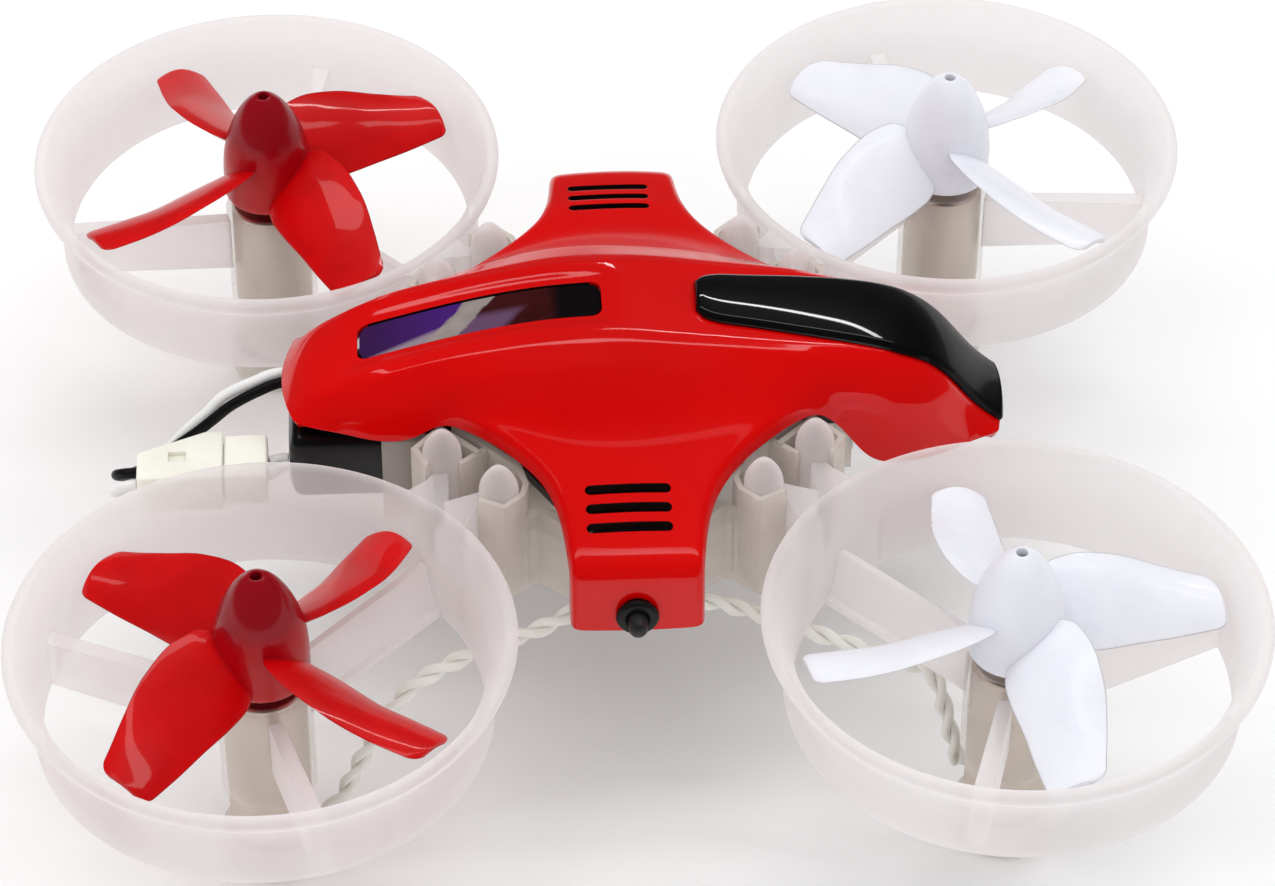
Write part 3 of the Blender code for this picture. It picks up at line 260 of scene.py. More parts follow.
def turned(name, profile, at=(0, 0, 0), steps=32):
    """A profile of (radius, z) turned about the vertical through `at`.

    It is closed into a loop unless it starts on the axis.
    """
    count = len(profile)
    edges = [(i, i + 1) for i in range(count - 1)]
    if profile[0][0] > 0:
        edges.append((count - 1, 0))
    mesh = bpy.data.meshes.new(name)
    mesh.from_pydata([(r * MM, 0, z * MM) for r, z in profile], edges, [])
    obj = link(name, mesh)
    obj.location = metres(at)
    screw = obj.modifiers.new("Screw", "SCREW")
    screw.steps = screw.render_steps = steps
    screw.use_merge_vertices = True
    screw.merge_threshold = 0.00001
    screw.use_smooth_shade = True
    return meshed(obj)


def add_line(curve, points, closed=False):
    spline = curve.splines.new("POLY")
    spline.points.add(len(points) - 1)
    for knot, point in zip(spline.points, points):
        knot.co = (*metres(point), 1)
    spline.use_cyclic_u = closed


def prism(name, outlines, z, matrix=Matrix.Identity(4)):
    """Flat outlines (the first is the rim, the others are holes) extruded over the z range."""
    curve = bpy.data.curves.new(name, "CURVE")
    curve.dimensions = "2D"
    curve.fill_mode = "BOTH"
    curve.extrude = (z[1] - z[0]) / 2 * MM
    for outline in outlines:
        add_line(curve, [(x, y, 0) for x, y in outline], closed=True)
    obj = link(name, curve)
    obj.matrix_world = matrix @ Matrix.Translation((0, 0, (z[0] + z[1]) / 2 * MM))
    return meshed(obj)


def wire(name, points, radius, ring):
    curve = bpy.data.curves.new(name, "CURVE")
    curve.dimensions = "3D"
    curve.bevel_depth = radius * MM
    curve.bevel_resolution = ring
    curve.use_fill_caps = True
    add_line(curve, points)
    return meshed(link(name, curve))


def block(name, x, y, z):
    """A box over three ranges; z is measured from the lip."""
    ranges = (x, y, (RIM_Z + z[0], RIM_Z + z[1]))
    work = bmesh.new()
    bmesh.ops.create_cube(work, size=1.0)
    for vert in work.verts:
        vert.co = metres((low + high) / 2 + unit * (high - low)
                         for unit, (low, high) in zip(vert.co, ranges))
    mesh = bpy.data.meshes.new(name)
    work.to_mesh(mesh)
    work.free()
    return link(name, mesh)


def aimed(at, axis):
    """The matrix that carries the origin to `at` and +Z to the axis."""
    turn = Vector(axis).to_track_quat("Z", "Y").to_matrix().to_4x4()
    return Matrix.Translation(metres(at)) @ turn


def rod(name, radius, length, at, axis, vertices):
    work = bmesh.new()
    bmesh.ops.create_cone(work, cap_ends=True, segments=vertices, radius1=radius * MM,
                          radius2=radius * MM, depth=length * MM)
    mesh = bpy.data.meshes.new(name)
    work.to_mesh(mesh)
    work.free()
    obj = link(name, mesh)
    obj.matrix_world = aimed(at, axis)
    return obj


def bevelled(obj, width, segments):
    bevel = obj.modifiers.new("Bevel", "BEVEL")
    bevel.width = width * MM
    bevel.segments = segments
    bevel.limit_method = "ANGLE"
    return meshed(obj)


def combine(base, others, operation):
    for other in others:
        modifier = base.modifiers.new(operation.title(), "BOOLEAN")
        modifier.operation = operation
        modifier.object = other
        modifier.solver = "EXACT"
    out = meshed(base)
    for other in others:
        bpy.data.objects.remove(other, do_unlink=True)
    return out


def union(base, others):
    return combine(base, others, "UNION")


def carve(base, others):
    return combine(base, others, "DIFFERENCE")


def at_rotor(source, x_side, y_side, turn):
    """A copy of a piece built about the z axis, turned (radians) and moved to a rotor."""
    move = Matrix.Translation(metres((x_side * PITCH, y_side * PITCH, 0)))
    mesh = source.data.copy()
    mesh.transform(move @ Matrix.Rotation(turn, 4, "Z") @ source.matrix_world)
    return link(source.name + "_copy", mesh)


def done(obj, name, material, body, *nodes, slot, smooth=32):
    """Names a finished mesh, gives it a material, hooks it to its body and hides the CAD solids it
    stands in for.
    """
    obj.name = name
    obj.data.name = name
    obj.data.materials.clear()
    obj.data.materials.append(MATERIALS[material])
    obj.data.shade_smooth()
    obj.data.set_sharp_from_angle(angle=math.radians(smooth))
    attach(obj, body)
    if nodes:
        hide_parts(*nodes)


def repaint(node, material):
    """Gives a CAD solid one material and returns its mesh."""
    mesh = frame["nodes"][node].data
    mesh.materials.clear()
    mesh.materials.append(MATERIALS[material])
    return mesh


# --- material building ---
MIDDLE = (0.3, 0.7)       # bands that hold most of a noise's values
CORE = (0.35, 0.65)


class Net:
    """A small builder for one material's node tree."""

    def __init__(self, name):
        self.material = bpy.data.materials.new(name)
        self.material.use_nodes = True
        self.tree = self.material.node_tree
        self.tree.nodes.clear()
        self.surface = self.tree.nodes.new("ShaderNodeOutputMaterial").inputs["Surface"]
        self.at = self.make("TexCoord").outputs["Object"]

    def make(self, kind, **values):
        """A node. _key sets a property, iN the input of that index, other keys inputs by name."""
        node = self.tree.nodes.new("ShaderNode" + kind)
        for key, value in values.items():
            if key.startswith("_"):
                setattr(node, key[1:], value)
            else:
                self.put(node, key, value)
        return node

    def out(self, kind, **values):
        return self.make(kind, **values).outputs[0]

    def put(self, node, key, value):
        indexed = key[0] == "i" and key[1:].isdigit()
        socket = node.inputs[int(key[1:]) if indexed else key.replace("__", " ")]
        if isinstance(value, bpy.types.NodeSocket):
            self.tree.links.new(value, socket)
        elif isinstance(value, (tuple, list)) and len(value) == 3 and socket.type == "RGBA":
            socket.default_value = (*value, 1)
        else:
            socket.default_value = value

    def noise(self, scale, detail=3.0, rough=0.5, stretch=None):
        at = self.at
        if stretch:
            at = self.out("Mapping", Vector=at, Scale=stretch)
        node = self.make("TexNoise", Vector=at, Scale=scale, Detail=detail, Roughness=rough)
        return node.outputs["Fac"]

    def ramp(self, fac, *stops):
        """A grey ramp through (position, value) stops."""
        node = self.make("ValToRGB", Fac=fac)
        elements = node.color_ramp.elements
        while len(elements) < len(stops):
            elements.new(0.5)
        for element, (position, value) in zip(elements, stops):
            element.position = position
            element.color = (value, value, value, 1)
        return node.outputs["Color"]

    def remap(self, value, source=(0.0, 1.0), to=(0.0, 1.0)):
        return self.out("MapRange", Value=value, i1=source[0], i2=source[1], i3=to[0], i4=to[1])

    def math(self, operation, first, second=0.0):
        return self.out("Math", _operation=operation, i0=first, i1=second)

    def mix(self, fac, first, second):
        node = self.make("Mix", _data_type="RGBA", i0=fac, i6=first, i7=second)
        return node.outputs[2]

    def mix_shader(self, fac, first, second):
        return self.out("MixShader", i0=fac, i1=first, i2=second)

    def axes(self):
        return self.make("SeparateXYZ", Vector=self.at).outputs

    def bump(self, height, strength, distance, normal=None):
        node = self.make("Bump", Strength=strength, Distance=distance, Height=height)
        if normal:
            self.put(node, "Normal", normal)
        return node.outputs[0]

    def round(self, radius):
        return self.out("Bevel", _samples=4, Radius=radius)

    def done(self, shader):
        self.tree.links.new(shader, self.surface)
        return self.material


def plastic(name, light, dark, rough, grain=900.0, relief=0.05, spread=0.05, coat=0.0,
            edge=0.00008, subsurface=0.0, specular=0.5, fade=None, hub=None):
    """Moulded plastic: slight colour and gloss variation, a fine grain and softened edges.

    `fade` is an x range over which the coat thins; `hub` a colour close to the rotor axes.
    """
    net = Net(name)
    cloud = net.noise(160.0, detail=4.0, rough=0.6)
    fine = net.noise(grain, rough=0.6)
    colour = net.mix(net.remap(cloud, CORE), dark, light)
    if hub:
        dx, dy = (net.math("SUBTRACT", net.math("ABSOLUTE", axis), PITCH * MM)
                  for axis in net.axes()[:2])
        square = net.math("ADD", net.math("MULTIPLY", dx, dx), net.math("MULTIPLY", dy, dy))
        distance = net.math("SQRT", square)
        colour = net.mix(net.remap(distance, (0.0028, 0.0038)), hub, colour)
    roughness = net.math("ADD", net.remap(cloud, MIDDLE, to=(rough - spread, rough + spread)),
                         net.remap(fine, to=(-0.02, 0.02)))
    normal = net.bump(fine, relief, 0.00004, net.round(edge) if edge else None)
    if fade:
        coat = net.remap(net.axes()[0], fade, to=(coat, coat * 0.2))
    body = net.make("BsdfPrincipled", Base__Color=colour, Roughness=roughness, Normal=normal,
                    Coat__Weight=coat, Coat__Roughness=0.04, IOR=1.48,
                    Specular__IOR__Level=specular)
    if subsurface:
        net.put(body, "Subsurface Weight", subsurface)
        net.put(body, "Subsurface Radius", (1, 0.9, 0.85))
        net.put(body, "Subsurface Scale", 0.0008)
    return net.done(body.outputs[0])


def translucent(name, tint, shade, clear, edge_on, rough, flow=90.0, streak=None, glow=0.25,
                specular=0.45, painted_nook_shade=0.0, marks=0.05):
    """Frosted or clear moulding: see-through face on, milky edge on.

    `flow` and `streak` scale its clouds, `painted_nook_shade` paints shade into nooks, `marks` is the
    scratch depth.
    """
    net = Net(name)
    cloud = net.noise(flow, detail=5.0, rough=0.55, stretch=streak)
    fine = net.noise(1400.0, detail=2.0)
    scratch = net.ramp(net.noise(700.0, detail=2.0, rough=0.7, stretch=(0.12, 1.0, 0.12)),
                       (0.0, 0.0), (0.66, 0.0), (0.72, 1.0), (1.0, 1.0))
    facing = net.make("LayerWeight", Blend=0.35).outputs["Facing"]
    colour = net.mix(net.remap(cloud, CORE), shade, tint)
    # painted shade: nooks and crevices are darkened in the colour by ambient occlusion
    if painted_nook_shade:
        nook = net.make("AmbientOcclusion", _samples=3, Distance=0.0025).outputs["AO"]
        painted_shade_colour = tuple(channel * (1 - painted_nook_shade) for channel in shade)
        colour = net.mix(net.remap(nook, (0.15, 0.75)), painted_shade_colour, colour)
    roughness = net.remap(cloud, MIDDLE, to=(rough * 0.85, rough * 1.2))
    normal = net.round(0.00015)
    normal = net.bump(cloud, 0.15 if marks else 0.01, 0.0002, normal)
    normal = net.bump(fine, 0.12, 0.00003, normal)
    normal = net.bump(scratch, marks, 0.00004, normal)
    body = net.out("BsdfPrincipled", Base__Color=colour, Roughness=roughness, Normal=normal,
                   IOR=1.45, Specular__IOR__Level=specular)
    through = net.out("BsdfTranslucent", Color=tint, Normal=normal)
    solid = net.mix_shader(glow, body, through)
    gap = net.out("BsdfTransparent", Color=net.mix(0.7, tint, (1, 1, 1)))
    dense = net.math("ADD", net.remap(facing, to=(1 - clear, 1 - clear + edge_on)),
                     net.remap(cloud, MIDDLE, to=(-0.05, 0.05)))
    shadow = net.make("LightPath").outputs["Is Shadow Ray"]
    dense = net.math("MULTIPLY", dense, net.remap(shadow, to=(1.0, 0.45)))
    return net.done(net.mix_shader(dense, gap, solid))


def metal(name, colour, rough, lines=(40, 40, 1500), relief=0.12):
    """Plated metal with fine drawn lines, faint staining and softened edges."""
    net = Net(name)
    brush = net.noise(1.0, rough=0.6, stretch=lines)
    stain = net.noise(220.0, detail=4.0, rough=0.65)
    stained = tuple(channel * 0.86 for channel in colour)
    tone = net.mix(net.remap(stain, MIDDLE), stained, colour)
    roughness = net.math("ADD", net.remap(brush, MIDDLE, to=(rough - 0.06, rough + 0.08)),
                         net.remap(stain, MIDDLE, to=(-0.04, 0.04)))
    normal = net.bump(brush, relief, 0.00003, net.round(0.0001))
    return net.done(net.out("BsdfPrincipled", Base__Color=tone, Metallic=1.0,
                            Roughness=roughness, Normal=normal, Anisotropic=0.4))


def canopy_paint():
    """Glossy red shell: clear-coated colour, very slight orange peel, dust-fine speckle."""
    net = Net("canopy_gloss_red")
    cloud = net.noise(45.0)
    peel = net.noise(420.0, detail=2.0)
    speck = net.noise(2600.0, detail=2.0, rough=0.6)
    colour = net.mix(net.remap(cloud, MIDDLE), (0.56, 0.0, 0.0), (0.68, 0.0, 0.0))
    rough = net.remap(speck, MIDDLE, to=(0.32, 0.42))
    # the coat is thick on the spine, thin on the side tabs and thicker again at their tips
    y = net.axes()[1]
    away = net.math("MAXIMUM", net.math("MULTIPLY", y, 1.25), net.math("MULTIPLY", y, -1.0))
    gloss = net.math("MAXIMUM", net.remap(away, (0.0078, 0.0092), to=(0.85, 0.1)),
                     net.remap(away, (0.0205, 0.0215), to=(0.1, 0.7)))
    normal = net.bump(peel, 0.03, 0.00008, net.round(0.00012))
    body = net.make("BsdfPrincipled", Base__Color=colour, Roughness=rough, Normal=normal,
                    Coat__Weight=gloss, Coat__Roughness=0.045, Coat__IOR=1.5, IOR=1.45,
                    Specular__IOR__Level=0.06)
    net.put(body, "Coat Normal", net.bump(peel, 0.02, 0.00006, net.round(0.00012)))
    return net.done(body.outputs[0])


def glass_window():
    """Smoked pane: gloss over a painted view of a purple board with a painted highlight on one side, a
    clear strap, and painted shade for the dark space beneath.
    """
    net = Net("window_smoke")
    smear = net.noise(300.0, rough=0.6)
    wobble = net.remap(net.noise(420.0, rough=0.6), MIDDLE, to=(-0.0003, 0.0003))
    x, y = net.axes()[:2]
    # distance along x from a line that slants across the pane; bands follow it towards the rear
    slant = net.math("SUBTRACT", x, net.math("MULTIPLY", y, 0.74))
    across = net.math("ADD", slant, wobble)
    # painted shade: dim brown for the shaded space under the pane
    brown = net.mix(net.remap(smear, MIDDLE), (0.030, 0.003, 0.004), (0.055, 0.008, 0.009))
    view = net.mix(net.remap(across, (-0.0078, -0.0070)),
                   net.mix(net.remap(y, (-0.0004, 0.0004)), (0.15, 0.075, 0.15), brown), brown)
    # painted shade: towards the front the view turns near black
    view = net.mix(net.remap(x, (-0.0056, -0.0046)), view, (0.004, 0.003, 0.004))
    strap = net.mix(net.remap(smear, MIDDLE), (0.26, 0.215, 0.20), (0.42, 0.36, 0.345))
    view = net.mix(net.remap(across, (-0.0110, -0.0107)), strap, view)
    purple = net.mix(net.remap(x, (-0.0185, -0.0130)), (0.045, 0.012, 0.08), (0.07, 0.016, 0.19))
    # painted highlight: a light lilac patch on the near side of the purple board
    border = net.math("SUBTRACT", y, net.math("MULTIPLY", x, 0.25))
    purple = net.mix(net.remap(border, (0.0026, 0.0031)), (0.34, 0.26, 0.32), purple)
    view = net.mix(net.remap(across, (-0.0133, -0.0130)), purple, view)
    below = net.out("BsdfDiffuse", Color=view)
    gap = net.out("BsdfTransparent", Color=(0.8, 0.74, 0.8))
    deep = net.mix_shader(0.22, below, gap)
    gloss = net.out("BsdfGlossy", Color=(1, 1, 1),
                    Roughness=net.remap(smear, MIDDLE, to=(0.03, 0.09)),
                    Normal=net.bump(net.noise(90.0, detail=2.0), 0.1, 0.0002))
    return net.done(net.mix_shader(net.out("Fresnel", IOR=1.5), deep, gloss))


# --- materials ---
# plastics take a light and a dark tone, translucents a tint and a shade, metals one colour
MATERIALS = {
    "canopy": canopy_paint(),
    "panel": plastic("panel_gloss_black", (0.003, 0.003, 0.0035), (0.002, 0.002, 0.0025),
                     rough=0.4, grain=500, relief=0.01, spread=0.03, coat=1.0, edge=0.00018,
                     specular=0.08, fade=(0.017, 0.022)),
    "duct": translucent("duct_frosted", (0.96, 0.93, 0.93), (0.90, 0.865, 0.87), clear=0.58,
                        edge_on=0.62, rough=0.38, flow=60.0, streak=(1, 1, 0.35), glow=0.5,
                        painted_nook_shade=0.12),
    "frame": translucent("frame_moulded", (0.985, 0.93, 0.87), (0.94, 0.865, 0.79), clear=0.62,
                         edge_on=0.5, rough=0.14, flow=120.0, glow=0.35, painted_nook_shade=0.6, marks=0.02),
    # no piece wears "tray" or "gold"
    "tray": translucent("bay_clear", (0.8, 0.82, 0.86), (0.7, 0.72, 0.78), clear=0.62,
                        edge_on=0.4, rough=0.1, flow=150.0, glow=0.2),
    "foot": translucent("foot_soft", (0.92, 0.89, 0.85), (0.84, 0.80, 0.75), clear=0.4,
                        edge_on=0.4, rough=0.4, flow=200.0, glow=0.35),
    "case": metal("motor_nickel", (0.68, 0.59, 0.52), rough=0.34, relief=0.04),
    "steel": metal("shaft_steel", (0.66, 0.66, 0.67), rough=0.22),
    "brass": metal("bush_brass", (0.62, 0.40, 0.2), rough=0.3),
    "dark": plastic("motor_dark", (0.02, 0.02, 0.02), (0.01, 0.01, 0.01), rough=0.5),
    "magnet": metal("magnet_nickel", (0.45, 0.45, 0.47), rough=0.3),
    "coil": metal("coil_copper", (0.72, 0.32, 0.14), rough=0.35, lines=(60, 60, 4000), relief=0.5),
    "white": plastic("prop_gloss_white", (0.84, 0.85, 0.91), (0.79, 0.80, 0.87), rough=0.3,
                     grain=700, relief=0.02, spread=0.04, coat=0.25, subsurface=0.25,
                     edge=0.00012, specular=0.3),
    "red": plastic("prop_gloss_red", (0.62, 0.0, 0.001), (0.50, 0.0, 0.001), rough=0.34,
                   grain=700, relief=0.03, spread=0.04, coat=0.4, subsurface=0.1,
                   edge=0.00012, specular=0.15, hub=(0.26, 0.0, 0.006)),
    "lead": plastic("lead_insulation_cream", (0.86, 0.85, 0.80), (0.76, 0.745, 0.69),
                    rough=0.42, grain=1500, relief=0.1, subsurface=0.2, edge=0),
    "lead_white": plastic("lead_insulation_white", (0.88, 0.88, 0.87), (0.8, 0.8, 0.79),
                          rough=0.4, grain=1500, relief=0.08, subsurface=0.2, edge=0),
    "lead_black": plastic("lead_insulation_black", (0.008, 0.008, 0.008), (0.004, 0.004, 0.004),
                          rough=0.38, grain=1500, relief=0.08, edge=0, specular=0.3),
    "nylon": plastic("housing_nylon", (0.90, 0.89, 0.80), (0.82, 0.805, 0.71), rough=0.4,
                     relief=0.06, subsurface=0.4),
    "rubber": plastic("grommet_rubber", (0.006, 0.006, 0.006), (0.003, 0.003, 0.003),
                      rough=0.5, grain=1300, relief=0.12, spread=0.08, specular=0.3),
    "wrap": plastic("battery_wrap", (0.005, 0.005, 0.006), (0.002, 0.002, 0.003), rough=0.3,
                    grain=240, relief=0.12, spread=0.08, coat=0.3, edge=0.0002, specular=0.3),
    # near-black inside of the canopy: painted shade, so that the vent slots read black
    "inside": plastic("canopy_inside", (0.012, 0.003, 0.003), (0.006, 0.002, 0.002),
                      rough=0.6, grain=700, edge=0, specular=0.2),
    "sleeve": translucent("sleeve_clear", (0.95, 0.93, 0.90), (0.88, 0.85, 0.81), clear=0.93,
                          edge_on=0.35, rough=0.12, flow=60.0, marks=0.0),
    "purple": plastic("board_mask_purple", (0.26, 0.06, 0.55), (0.14, 0.035, 0.34),
                      rough=0.3, grain=500, relief=0.06),
    "mask": plastic("board_mask", (0.012, 0.014, 0.018), (0.006, 0.007, 0.01), rough=0.32,
                    grain=500, relief=0.06),
    "chip": plastic("chip_epoxy", (0.02, 0.02, 0.021), (0.012, 0.012, 0.013), rough=0.5,
                    grain=2000, relief=0.2, edge=0.00005),
    "ceramic": plastic("ceramic_buff", (0.5, 0.38, 0.24), (0.42, 0.31, 0.19), rough=0.4),
    "tin": metal("solder_tin", (0.72, 0.72, 0.74), rough=0.28, lines=(300, 300, 300), relief=0.3),
    "gold": metal("contact_gold", (0.85, 0.62, 0.25), rough=0.25),
    "lens": plastic("lamp_lens", (0.85, 0.84, 0.6), (0.8, 0.78, 0.5), rough=0.15, subsurface=0.3),
    "window": glass_window(),
}

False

# --- ducts ---
# heights are from the lip; a duct is built about its axis with +x towards the craft's middle
# section of the ring: radius, z, rounding
RING = [
    (17.6, 0.12, 0.2), (18.05, 0.02, 0.25), (LIP_R, -0.35, 0.25), (18.1, -0.85, 0.3),
    (17.65, -1.3, 0.4), (17.0, -1.95, 0.6), (16.62, -2.9, 0.8), (WALL_R, -4.4, 0.8),
    (WALL_R, -DUCT_H, 0.15), (BORE_R, -DUCT_H, 0.15), (BORE_R, -4.6, 1.0), (15.95, -3.0, 0.8),
    (16.3, -1.9, 0.6), (16.85, -0.75, 0.5), (17.25, -0.05, 0.2),
]
# radius, z
PEG = [
    (0.0, PEG_TOP), (0.18, PEG_TOP - 0.02), (0.36, PEG_TOP - 0.1), (0.55, PEG_TOP - 0.25),
    (0.78, PEG_TOP - 0.52), (1.0, PEG_TOP - 0.84), (1.2, PEG_TOP - 1.2), (1.34, PEG_TOP - 1.55),
    (1.42, PEG_TOP - 1.9), (PEG_R, PEG_TOP - 2.3), (PEG_R, -7.9), (1.25, -8.2), (0.0, -8.2),
]
# what is cut from the root to clear the bore: radius, z
BORE_CUT = [
    (0.0, 1.5), (17.6, 1.5), (17.5, -0.2), (16.9, -1.0), (16.5, -1.9), (16.2, -3.0),
    (16.1, -4.4), (16.1, -9.0), (0.0, -9.0),
]
# plan of the root, between ring and frame: x, y
ROOT = [
    (15.95, -4.6), (17.6, -3.1), (19.3, -2.45), (20.9, -2.45), (20.9, -1.7), (18.7, 0.0),
    (20.9, 1.7), (20.9, 2.45), (19.3, 2.45), (17.6, 3.1), (15.95, 4.6),
]
ROOT_LOW = -7.75
# section of the spoke next to the craft, a leaning plate with a foot: y for sense +1, z
VANE = [(0.2, -3.85), (0.8, -3.75), (1.95, -7.15), (2.45, -7.25), (2.45, -7.75), (1.25, -7.75)]
VANE_X = (2.0, 16.0)
# inner and outer end of the two plain spokes: x, half width, low z, top z
SPOKE = ((3.35, 0.5, -10.4, -5.6), (16.0, 0.7, -7.5, -3.6))
SLEEVE = [
    (3.2, -4.9), (SLEEVE_R, -5.0, 0.1), (SLEEVE_R, -14.4, 0.1), (3.3, -14.5), (3.08, -14.5),
    (3.08, -4.9),
]


def make_vane(sense):
    """The vane's section carried along x, its inner end hollowed round the motor."""
    n = len(VANE)
    points = [(x, y * sense, z) for x in VANE_X for y, z in VANE]
    faces = [list(range(n)), [n + k for k in range(n)][::-1]]
    faces += [[k, n + k, n + (k + 1) % n, (k + 1) % n] for k in range(n)]
    vane = new_mesh("spoke", points, faces, smooth=False)
    return carve(vane, [rod("bore", 3.3, 12, at=(0, 0, -6), axis=(0, 0, 1), vertices=64)])


def make_spoke(turn):
    points = [(x, side * half, z) for x, half, low, top in SPOKE
              for side in (-1, 1) for z in (low, top)]
    faces = [(0, 2, 3, 1), (4, 5, 7, 6), (0, 1, 5, 4), (2, 6, 7, 3), (1, 3, 7, 5), (0, 4, 6, 2)]
    spoke = new_mesh("spoke", points, faces, smooth=False)
    spoke.matrix_world = Matrix.Rotation(math.radians(turn), 4, "Z")
    return spoke


def make_root():
    """The root's plan raised to a top that climbs away from the ring."""
    n = len(ROOT)
    points = [(x, y, ROOT_LOW) for x, y in ROOT]
    points += [(x, y, -0.75 + (x - 16) * 0.27) for x, y in ROOT]
    faces = [list(range(n))[::-1], [n + k for k in range(n)]]
    faces += [[k, (k + 1) % n, n + (k + 1) % n, n + k] for k in range(n)]
    root = new_mesh("root", points, faces, smooth=False)
    return carve(root, [turned("bore", BORE_CUT, steps=RIM_STEPS)])


def make_duct(sense):
    section = fillet([RING[-1], *RING, RING[0]], steps=3)[1:-1]
    ring = turned("ring", section, steps=RIM_STEPS)
    parts = [make_vane(sense), make_spoke(120), make_spoke(-120), make_root()]
    for side in (-1, 1):
        parts.append(turned("peg", PEG, at=(PITCH * math.sqrt(2) - PEG_U, side * PEG_W, 0)))
    duct = union(ring, parts)
    for vert in duct.data.vertices:
        vert.co.z += RIM_Z * MM
    return duct


ducts = {sense: make_duct(sense) for sense in (1, -1)}
for name, (x_side, y_side, sense, _) in ROTORS.items():
    duct = at_rotor(ducts[sense], x_side, y_side, math.atan2(-y_side, -x_side))
    done(duct, "duct_shell_" + name, "duct", "airframe", "duct_" + name, slot="duct_frosted")
    sleeve = turned("sleeve", fillet(SLEEVE), at=(x_side * PITCH, y_side * PITCH, RIM_Z), steps=64)
    done(sleeve, "motor_sleeve_" + name, "sleeve", "airframe", slot="duct_frosted")
for duct in ducts.values():
    bpy.data.objects.remove(duct, do_unlink=True)

# --- motors ---
# profiles: radius, z from the lip, rounding
CAN = [
    (0.5, -4.15, 0), (1.1, -4.15, 0.05), (1.15, MOTOR_TOP + 0.02, 0.05), (2.75, MOTOR_TOP, 0.15),
    (2.82, MOTOR_TOP - 0.02), (MOTOR_R, MOTOR_TOP - 0.22, 0.1), (MOTOR_R, -18.7, 0),
    (2.93, -18.8, 0), (2.93, -18.95, 0), (MOTOR_R, -19.05, 0), (MOTOR_R, MOTOR_END, 0.05),
    (2.75, MOTOR_END, 0), (2.75, -5.2, 0), (0.5, -5.2, 0),
]
BUSH = [(1.2, -4.15, 0), (1.62, -4.15, 0.1), (1.75, -4.3, 0.1), (1.75, -4.62, 0), (1.2, -4.62, 0)]
BOOT = [
    (0.0, -20.9, 0), (1.1, -20.9, 0), (1.1, -19.9, 0), (2.65, -19.9, 0), (2.65, -19.75, 0),
    (3.06, -19.75, 0), (3.06, -19.1, 0.05), (3.6, -19.1, 0.15), (3.72, -19.35, 0.15),
    (3.72, -20.3, 0.05), (3.62, -20.4, 0.05), (3.72, -20.5, 0.05), (3.72, -21.55, 0.35),
    (3.35, -22.0, 0.15), (0.0, -22.0, 0),
]
for name, (x_side, y_side, _, _) in ROTORS.items():
    at = (x_side * PITCH, y_side * PITCH, RIM_Z)
    bush = turned("bush", fillet(BUSH, steps=3), at, steps=48)
    done(bush, "motor_bush_" + name, "brass", "airframe", slot="motor_case")
    can = turned("can", fillet(CAN, steps=3), at, steps=72)
    done(can, "motor_case_" + name, "case", "airframe", "motor_can_" + name, slot="motor_case")
    boot = turned("foot", fillet(BOOT, steps=4), at, steps=64)
    done(boot, "motor_boot_" + name, "foot", "airframe", "motor_foot_" + name, slot="foot_clear")

for name in ROTORS:
    for node, material in (("magnet", "magnet"), ("coil", "coil"), ("shaft", "steel")):
        mesh = repaint("motor_%s_%s" % (node, name), material)
        mesh.shade_smooth()
        mesh.set_sharp_from_angle(angle=math.radians(40))

# --- propellers ---
# by radius: leading and trailing edge along the chord, pitch in degrees, height
blade_lead = curve_through([(2.7, 2.3), (3.6, 3.3), (4.8, 3.95), (6.2, 4.05), (9, 3.4),
                            (12, 1.9), (14, 0.85), (15.4, 0.2)])
blade_trail = curve_through([(2.7, -2.0), (3.6, -2.75), (5, -3.3), (7, -3.5), (9, -3.55),
                             (12, -3.8), (15.4, -4.05)])
blade_pitch = curve_through([(2.7, 41), (4, 38), (6, 35), (9, 31.5), (12, 23.5), (15.4, 15)])
blade_z = curve_through([(2.7, -1.0), (6, -1.15), (10, -1.5), (15.4, -1.9)])
BLADE_ROOT = 2.7
BLADE_THICK = 0.55
TIP_CORNER = 0.7
CHORD_STEPS = 10
BLADE_RADII = [BLADE_ROOT + 0.32 * k for k in range(33)] + [13.2, 13.5, 13.8, 14.1, 14.35, 14.55]
BLADE_RADII += [PROP_R - TIP_CORNER * (1 - math.sin(math.radians(angle)))
                for angle in (0, 12, 24, 35, 46, 56, 65, 73, 80, 86, 90)]

# radius of the spinner by height above the lip
spinner_radius = curve_through([
    (-3.1, SPINNER_R), (-1.2, SPINNER_R), (0.1, 3.38), (1.3, 3.18), (2.5, 2.84), (3.7, 2.35),
    (4.75, 1.75), (5.5, 1.12), (5.87, 0.62)])
SPINNER = [(0.42, SPINNER_TOP - 0.35), (0.42, SPINNER_TOP - 0.05), (0.5, SPINNER_TOP),
           (0.62, SPINNER_TOP - 0.03)]
SPINNER += [(spinner_radius(z), z) for z in [5.8 - 0.3 * k for k in range(30)]]
SPINNER += [(SPINNER_R - 0.03, -3.25), (3.35, -3.38), (3.2, -3.42), (1.6, -3.42), (0.45, -3.42)]


